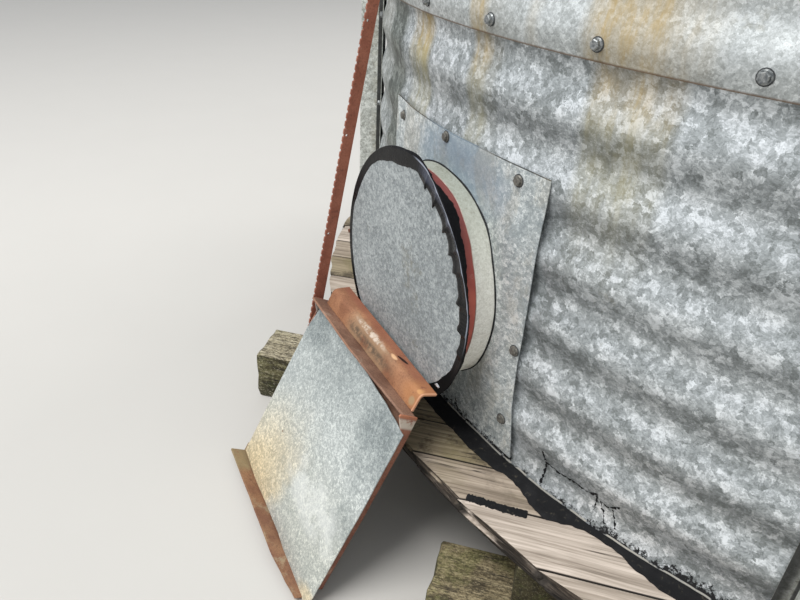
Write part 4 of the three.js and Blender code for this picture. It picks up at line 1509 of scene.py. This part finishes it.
timberTurn = turn(boardAngle, "Z")
deck = {"radius": 1.725, "thickness": 0.050, "gap": 0.0030, "bevel": 0.0042,
        "joints": [-1.700, -1.590, -1.478, -1.352, -1.236, -1.112, -0.996, -0.868, -0.750, -0.622, -0.510, -0.385,
                   -0.268, -0.140, -0.022, 0.100, 0.214, 0.338, 0.452, 0.576, 0.690, 0.812, 0.926, 1.040, 1.145,
                   1.249, 1.350, 1.468, 1.590, 1.700],
        "tones": {22: 0.2, 23: 0.1, 24: 0.15, 25: 0.5, 26: 0.95, 27: 0.85, 28: 0.9}, "rag": 0.016, "ragReach": 0.03,
        "endCuts": [0.002, 0.005, 0.008, 0.012, 0.03, 0.05, 0.08, 0.12, 0.2, 0.3, 0.4],
        "acrossCuts": (-0.36, -0.22, -0.08, 0.06, 0.2, 0.35), "levelCuts": (-0.32, -0.18, -0.05, 0.08, 0.2, 0.31)}


def makeBoards(finish):
    bm = bmesh.new()
    tones = bm.verts.layers.float.new("boardTone")
    bm.verts.layers.float.new("boardSeam")
    for number, (low, high) in enumerate(zip(deck["joints"], deck["joints"][1:])):
        low, high = low + deck["gap"] / 2, high - deck["gap"] / 2
        reach = [math.sqrt(deck["radius"] ** 2 - place ** 2) for place in (low, high)]
        work = bmesh.new()
        seam = work.verts.layers.float.new("boardSeam")
        bmesh.ops.create_cube(work, size=1)
        sides = [edge for edge in work.edges if abs(edge.verts[0].co.x - edge.verts[1].co.x) > 0.5]
        bevelled(work, sides, deck["bevel"] / (high - low), 2)
        cutAt(work, 0, [cut - 0.5 for cut in deck["endCuts"]] + [0] + [0.5 - cut for cut in deck["endCuts"]])
        cutAt(work, 1, deck["acrossCuts"])
        cutAt(work, 2, deck["levelCuts"])
        for vert in work.verts:
            across = vert.co.y + 0.5
            vert[seam] = 1.0 if abs(vert.co.y) > 0.499 else 0.25 if abs(vert.co.y) > 0.47 else 0.0
            half = reach[0] + (reach[1] - reach[0]) * across
            fromEnd = (0.5 - abs(vert.co.x)) * 2 * half
            x, y = vert.co.x * 2 * half, -(low + (high - low) * across)
            ragged = (1 - smooth(fromEnd / deck["ragReach"])) * deck["rag"]
            layers = noiseAt(x * 3, y * 16, vert.co.z * 7.5 + number)
            if fromEnd < deck["ragReach"]:
                x -= math.copysign(1, vert.co.x) * ragged * (0.35 + 0.75 * layers + 0.9 * (0.5 - vert.co.z))
            top = deckTop - 0.0003 if vert.co.z > 0 else deckTop
            z = top - deck["thickness"] / 2 + vert.co.z * deck["thickness"]
            if vert.co.z > 0.3:
                worn = (1 - smooth(fromEnd / 0.025)) * 0.003 * abs(layers)
                z -= abs(noiseAt(x * 2.5, y * 16, number)) * 0.0012 + worn
            vert.co = Vector((x, y, z))
        for vert in work.verts:
            vert.co.y += wobble(vert.co, 3.0, 0.0008, number)
        before = len(bm.verts)
        bm.from_mesh(meshFrom(recalculated(work)))
        bm.verts.ensure_lookup_table()
        for vert in bm.verts[before:]:
            vert[tones] = deck["tones"].get(number, (number * 0.618) % 1.0)
    moveAll(bm, timberTurn)
    return makePiece("weathered_deck_boards", bm, [finish], ["deck_boards"])


blocks = {"sleeperPlaces": [-1.453, -0.774, 0.0, 0.774, 1.453], "sleeperHeight": 0.150, "outer": (2.194, 0.250),
          "inner": (3.514, 0.150), "bearerPitch": 0.445, "bearerWidth": 0.095, "bearerHeight": 0.100,
          "bearerInset": 0.005, "ease": 0.006, "worn": 0.004}


# A rough old timber between two corners, with worn arrises, split ends and a dished top
def makeBlock(name, low, high, longAxis, finish, seed):
    size = high - low
    middle = (low + high) / 2
    bm = bmesh.new()
    addBlock(bm, middle, size)
    bevelled(bm, bm.edges[:], blocks["ease"], 2)
    for axis in range(3):
        count = max(2, round(size[axis] / (0.045 if axis == longAxis else 0.024)))
        for index in range(1, count):
            fromEnd = min(index, count - index) / count * size[axis]
            if axis != longAxis or index % 3 == 0 or fromEnd <= 0.30:
                cutAt(bm, axis, [low[axis] + size[axis] * index / count])
    sideAxis = 1 - longAxis
    for vert in bm.verts:
        point = vert.co.copy()
        away = [(point[axis] - middle[axis]) / size[axis] * 2 for axis in range(3)]
        grainPoint = point.copy()
        grainPoint[longAxis] *= 0.18
        depth = noise.noise(grainPoint * 22 + Vector((seed, 0, seed * 2))) * blocks["worn"]
        vert.co[sideAxis] -= math.copysign(1, away[sideAxis]) * abs(away[sideAxis]) ** 3 * (abs(depth) + 0.0005)
        rough = noise.noise(point * 30 + Vector((seed, 5, 0)))
        ends = away[longAxis]
        if abs(ends) > 0.5:
            near = smooth(1 - (1 - abs(ends)) * size[longAxis] / 2 / 0.04)
            split = 0.004 + 0.006 * rough + 0.004 * abs(noise.noise(grainPoint * 60))
            vert.co[longAxis] -= math.copysign(1, ends) * near * split
        vert.co.z -= smooth(away[2]) * (0.0008 + abs(depth) * 0.35)
    moveAll(bm, timberTurn)
    recalculated(bm)
    return makePiece("rough_" + name, bm, [finish], [name])


def makeSubframe(finishes):
    for index, place in enumerate(blocks["sleeperPlaces"]):
        length, width = blocks["outer"] if index in (0, 4) else blocks["inner"]
        low = Vector((-length / 2, -place - width / 2, 0.0))
        high = Vector((length / 2, -place + width / 2, blocks["sleeperHeight"] - 0.0003))
        makeBlock(f"sleeper_{index + 1}", low, high, 0, finishes[0 if index in (0, 4) else 1], index + 2)
    for index in range(-3, 4):
        place, half = index * blocks["bearerPitch"], blocks["bearerWidth"] / 2
        reach = math.sqrt(deck["radius"] ** 2 - (abs(place) + half) ** 2) - blocks["bearerInset"]
        low = Vector((place - half, -reach, blocks["sleeperHeight"]))
        high = Vector((place + half, reach, blocks["sleeperHeight"] + blocks["bearerHeight"] - 0.0003))
        makeBlock(f"bearer_{index + 4}", low, high, 1, finishes[2], index + 20)


# Tar brushed along the foot of the wall. Outer radius by angle, in millimetres, where the photo shows it.
tar = {"degree": 27.4, "steps": 1800, "levels": 7, "rise": 0.004, "reach": 1.605, "wander": 0.016,
       "edge": [(-12, 1604), (2, 1612), (6.7, 1612), (10.2, 1611), (11.4, 1608), (12.7, 1600), (13.7, 1603),
                (14.8, 1611), (15.5, 1621), (16.2, 1624), (16.9, 1623), (17.8, 1609), (18.5, 1596), (19.4, 1588),
                (20.0, 1586), (21.7, 1588), (23.5, 1602), (24.9, 1608), (40, 1606)],
       "strip": [(1.706, 12.4), (1.690, 13.3), (1.668, 14.6), (1.641, 16.0)],
       "stripWidth": 0.020,
       "loops": [[(14.88, 71), (14.82, 14)], [(14.57, 94), (14.88, 71)],
                 [(14.88, 71), (16.04, 66), (17.4, 73), (18.38, 68), (19.15, 83)], [(19.15, 83), (19.12, 35)],
                 [(19.4, 67), (20.13, 22)], [(19.4, 67), (20.01, 65), (20.91, 87)], [(20.35, 65), (20.89, 24)]],
       "lineWidth": 0.0085, "lift": 0.0007}


def tarEdge(angle):
    angle = (angle + 180) % 360 - 180
    points = [(place, value / 1000) for place, value in tar["edge"]]
    ragged = 0.006 * ringNoise(angle, 30, 0)
    ragged += 0.0045 * ringNoise(angle, 120, 4)
    if points[0][0] <= angle <= points[-1][0]:
        return along(points, angle) + ragged * 0.6
    return tar["reach"] + tar["wander"] * ringNoise(angle, 6, 9) + ragged


def makeTarRing(finish):
    levels = tar["levels"]
    loop = [(1.0, 0.001 * index) for index in range(levels + 1)] + [(0.99, 0.001 * (levels + 1))]
    bm = turned(loop, tar["steps"])
    for vert in bm.verts:
        level = round(vert.co.z / 0.001)
        angle = angleOf(vert.co)
        outer, inner = tarEdge(angle), wallRadius + 0.0070
        lumps = ringNoise(angle, 55, level * 0.6)
        if level == 0:
            radius, height = inner - 0.004, 0.0052 + 0.0030 * lumps
        elif level < levels - 1:
            part = (level - 1) / (levels - 2)
            radius = inner + (outer - inner) * part
            height = 0.0016 + tar["rise"] * (1 - smooth(part * 1.15)) ** 2 + 0.0010 * abs(lumps) * (1 - part) + 0.0006
        elif level == levels - 1:
            radius, height = outer, 0.0012
        elif level == levels:
            radius, height = outer + 0.0004, 0.0001
        else:
            radius, height = inner - 0.004, 0.0001
        vert.co = around(radius, angle, deckTop + height)
    recalculated(bm)
    return makePiece("brushed_tar_ring", bm, [finish], ["base_seal"])


# A thin smear along a path of points that lie on a surface with the given outward direction
def smear(bm, path, widths, lift, outward):
    edges = []
    for side in (-1, 0, 1):
        verts = []
        for index, point in enumerate(path):
            ahead = (path[min(index + 1, len(path) - 1)] - path[max(index - 1, 0)]).normalized()
            out = outward(point)
            across = ahead.cross(out).normalized()
            raised = out * (0.0001 if side else lift)
            verts.append(bm.verts.new(point + across * side * widths[index] / 2 + raised))
        edges.append([bm.edges.new(pair) for pair in zip(verts, verts[1:])])
    for first, second in zip(edges, edges[1:]):
        bmesh.ops.bridge_loops(bm, edges=first + second)


def makeTarMarks(finish):
    bm = bmesh.new()
    up = Vector((0, 0, 1))
    for number, loop in enumerate(tar["loops"]):
        path = []
        for (startAngle, startUp), (endAngle, endUp) in zip(loop, loop[1:]):
            length = math.hypot((endAngle - startAngle) * tar["degree"], endUp - startUp)
            count = max(2, round(length / 3))
            for index in range(count):
                part = index / count
                angle, rise = startAngle + (endAngle - startAngle) * part, startUp + (endUp - startUp) * part
                seed = Vector((angle * 3, rise * 0.1, number))
                angle += 0.07 * noise.noise(seed * 2)
                rise = rise * mm + 0.0022 * noise.noise(seed * 2 + Vector((7, 0, 0)))
                path.append(around(wallLine(rise) + wall["sheet"] / 2, angle, deckTop + rise))
        widths = [tar["lineWidth"] * max(0.15, 0.60 + 1.3 * noise.noise(point * 240)) for point in path]
        smear(bm, path, widths, tar["lift"], lambda point: flat(point).normalized())
    strip = []
    for (startRadius, startAngle), (endRadius, endAngle) in zip(tar["strip"], tar["strip"][1:]):
        for index in range(16):
            part = index / 16
            radius = startRadius + (endRadius - startRadius) * part
            strip.append(around(radius, startAngle + (endAngle - startAngle) * part, deckTop))
    widths = [tar["stripWidth"] * (0.95 + 0.45 * noise.noise(point * 260)) for point in strip]
    widths[0] *= 0.5
    smear(bm, strip, widths, tar["lift"], lambda point: up)
    recalculated(bm)
    for face in bm.faces:
        if face.normal.dot(flat(face.calc_center_median()).normalized() + up) < 0:
            face.normal_flip()
    thicken(bm, 0.0012)
    return makePiece("tar_marks", bm, [finish])


# Build

for ring in range(1, 5):
    for number in range(1, 4):
        makeSheet(ring, number, zinc["lowerWall" if ring == 1 else "upperWall"])
print("corrugated sheets built")
bolt = makeBolt()
boltFinishes = [plain["dull_bolt_zinc"], plain["washer_rubber"]]
placeWallBolts(bolt, boltFinishes)
for index in range(6):
    makeStiffener(index, zinc["stiffener"])
placeStiffenerBolts(bolt, boltFinishes)
print("stiffeners and bolts built")
for number in range(1, 7):
    makeRoofSector(number, zinc["roof"])
makeNeck(zinc["roof"])
makeLid(zinc["roof"])
print("roof built")
makePlate(zinc["plate"])
placePlateBolts(bolt, [plain["stained_bolt"], plain["washer_rubber"]])
makeCollarSeal(black["dark_sealant"])
makeCollar([zinc["collar"], plain["raw_sheet_edge"]])
makeFlange(redPaint)
makeCover(zinc["cover"])
makeTape(black["black_tape"])
makeScraps([plain["rusty_nut"], plain["crumpled_foil"]])
print("inlet built")
makePanel(zinc["panel"])
makeSideAngle("stand_left_angle", rust["side"], False)
makeSideAngle("stand_right_angle", rust["side"], True)
makeStandAngles({"shelf": rust["shelf"], "top": rust["orange"], "foot": rust["brown"], "slot": plain["painted_slot_shade"]})
makeBar(rust["redOxide"])
print("stand and bar built")
makeBoards(boardWood)
makeSubframe(list(mossyWood.values()))
makeTarRing(black["brushed_tar"])
makeTarMarks(black["brushed_tar"])
print("timber and tar built")
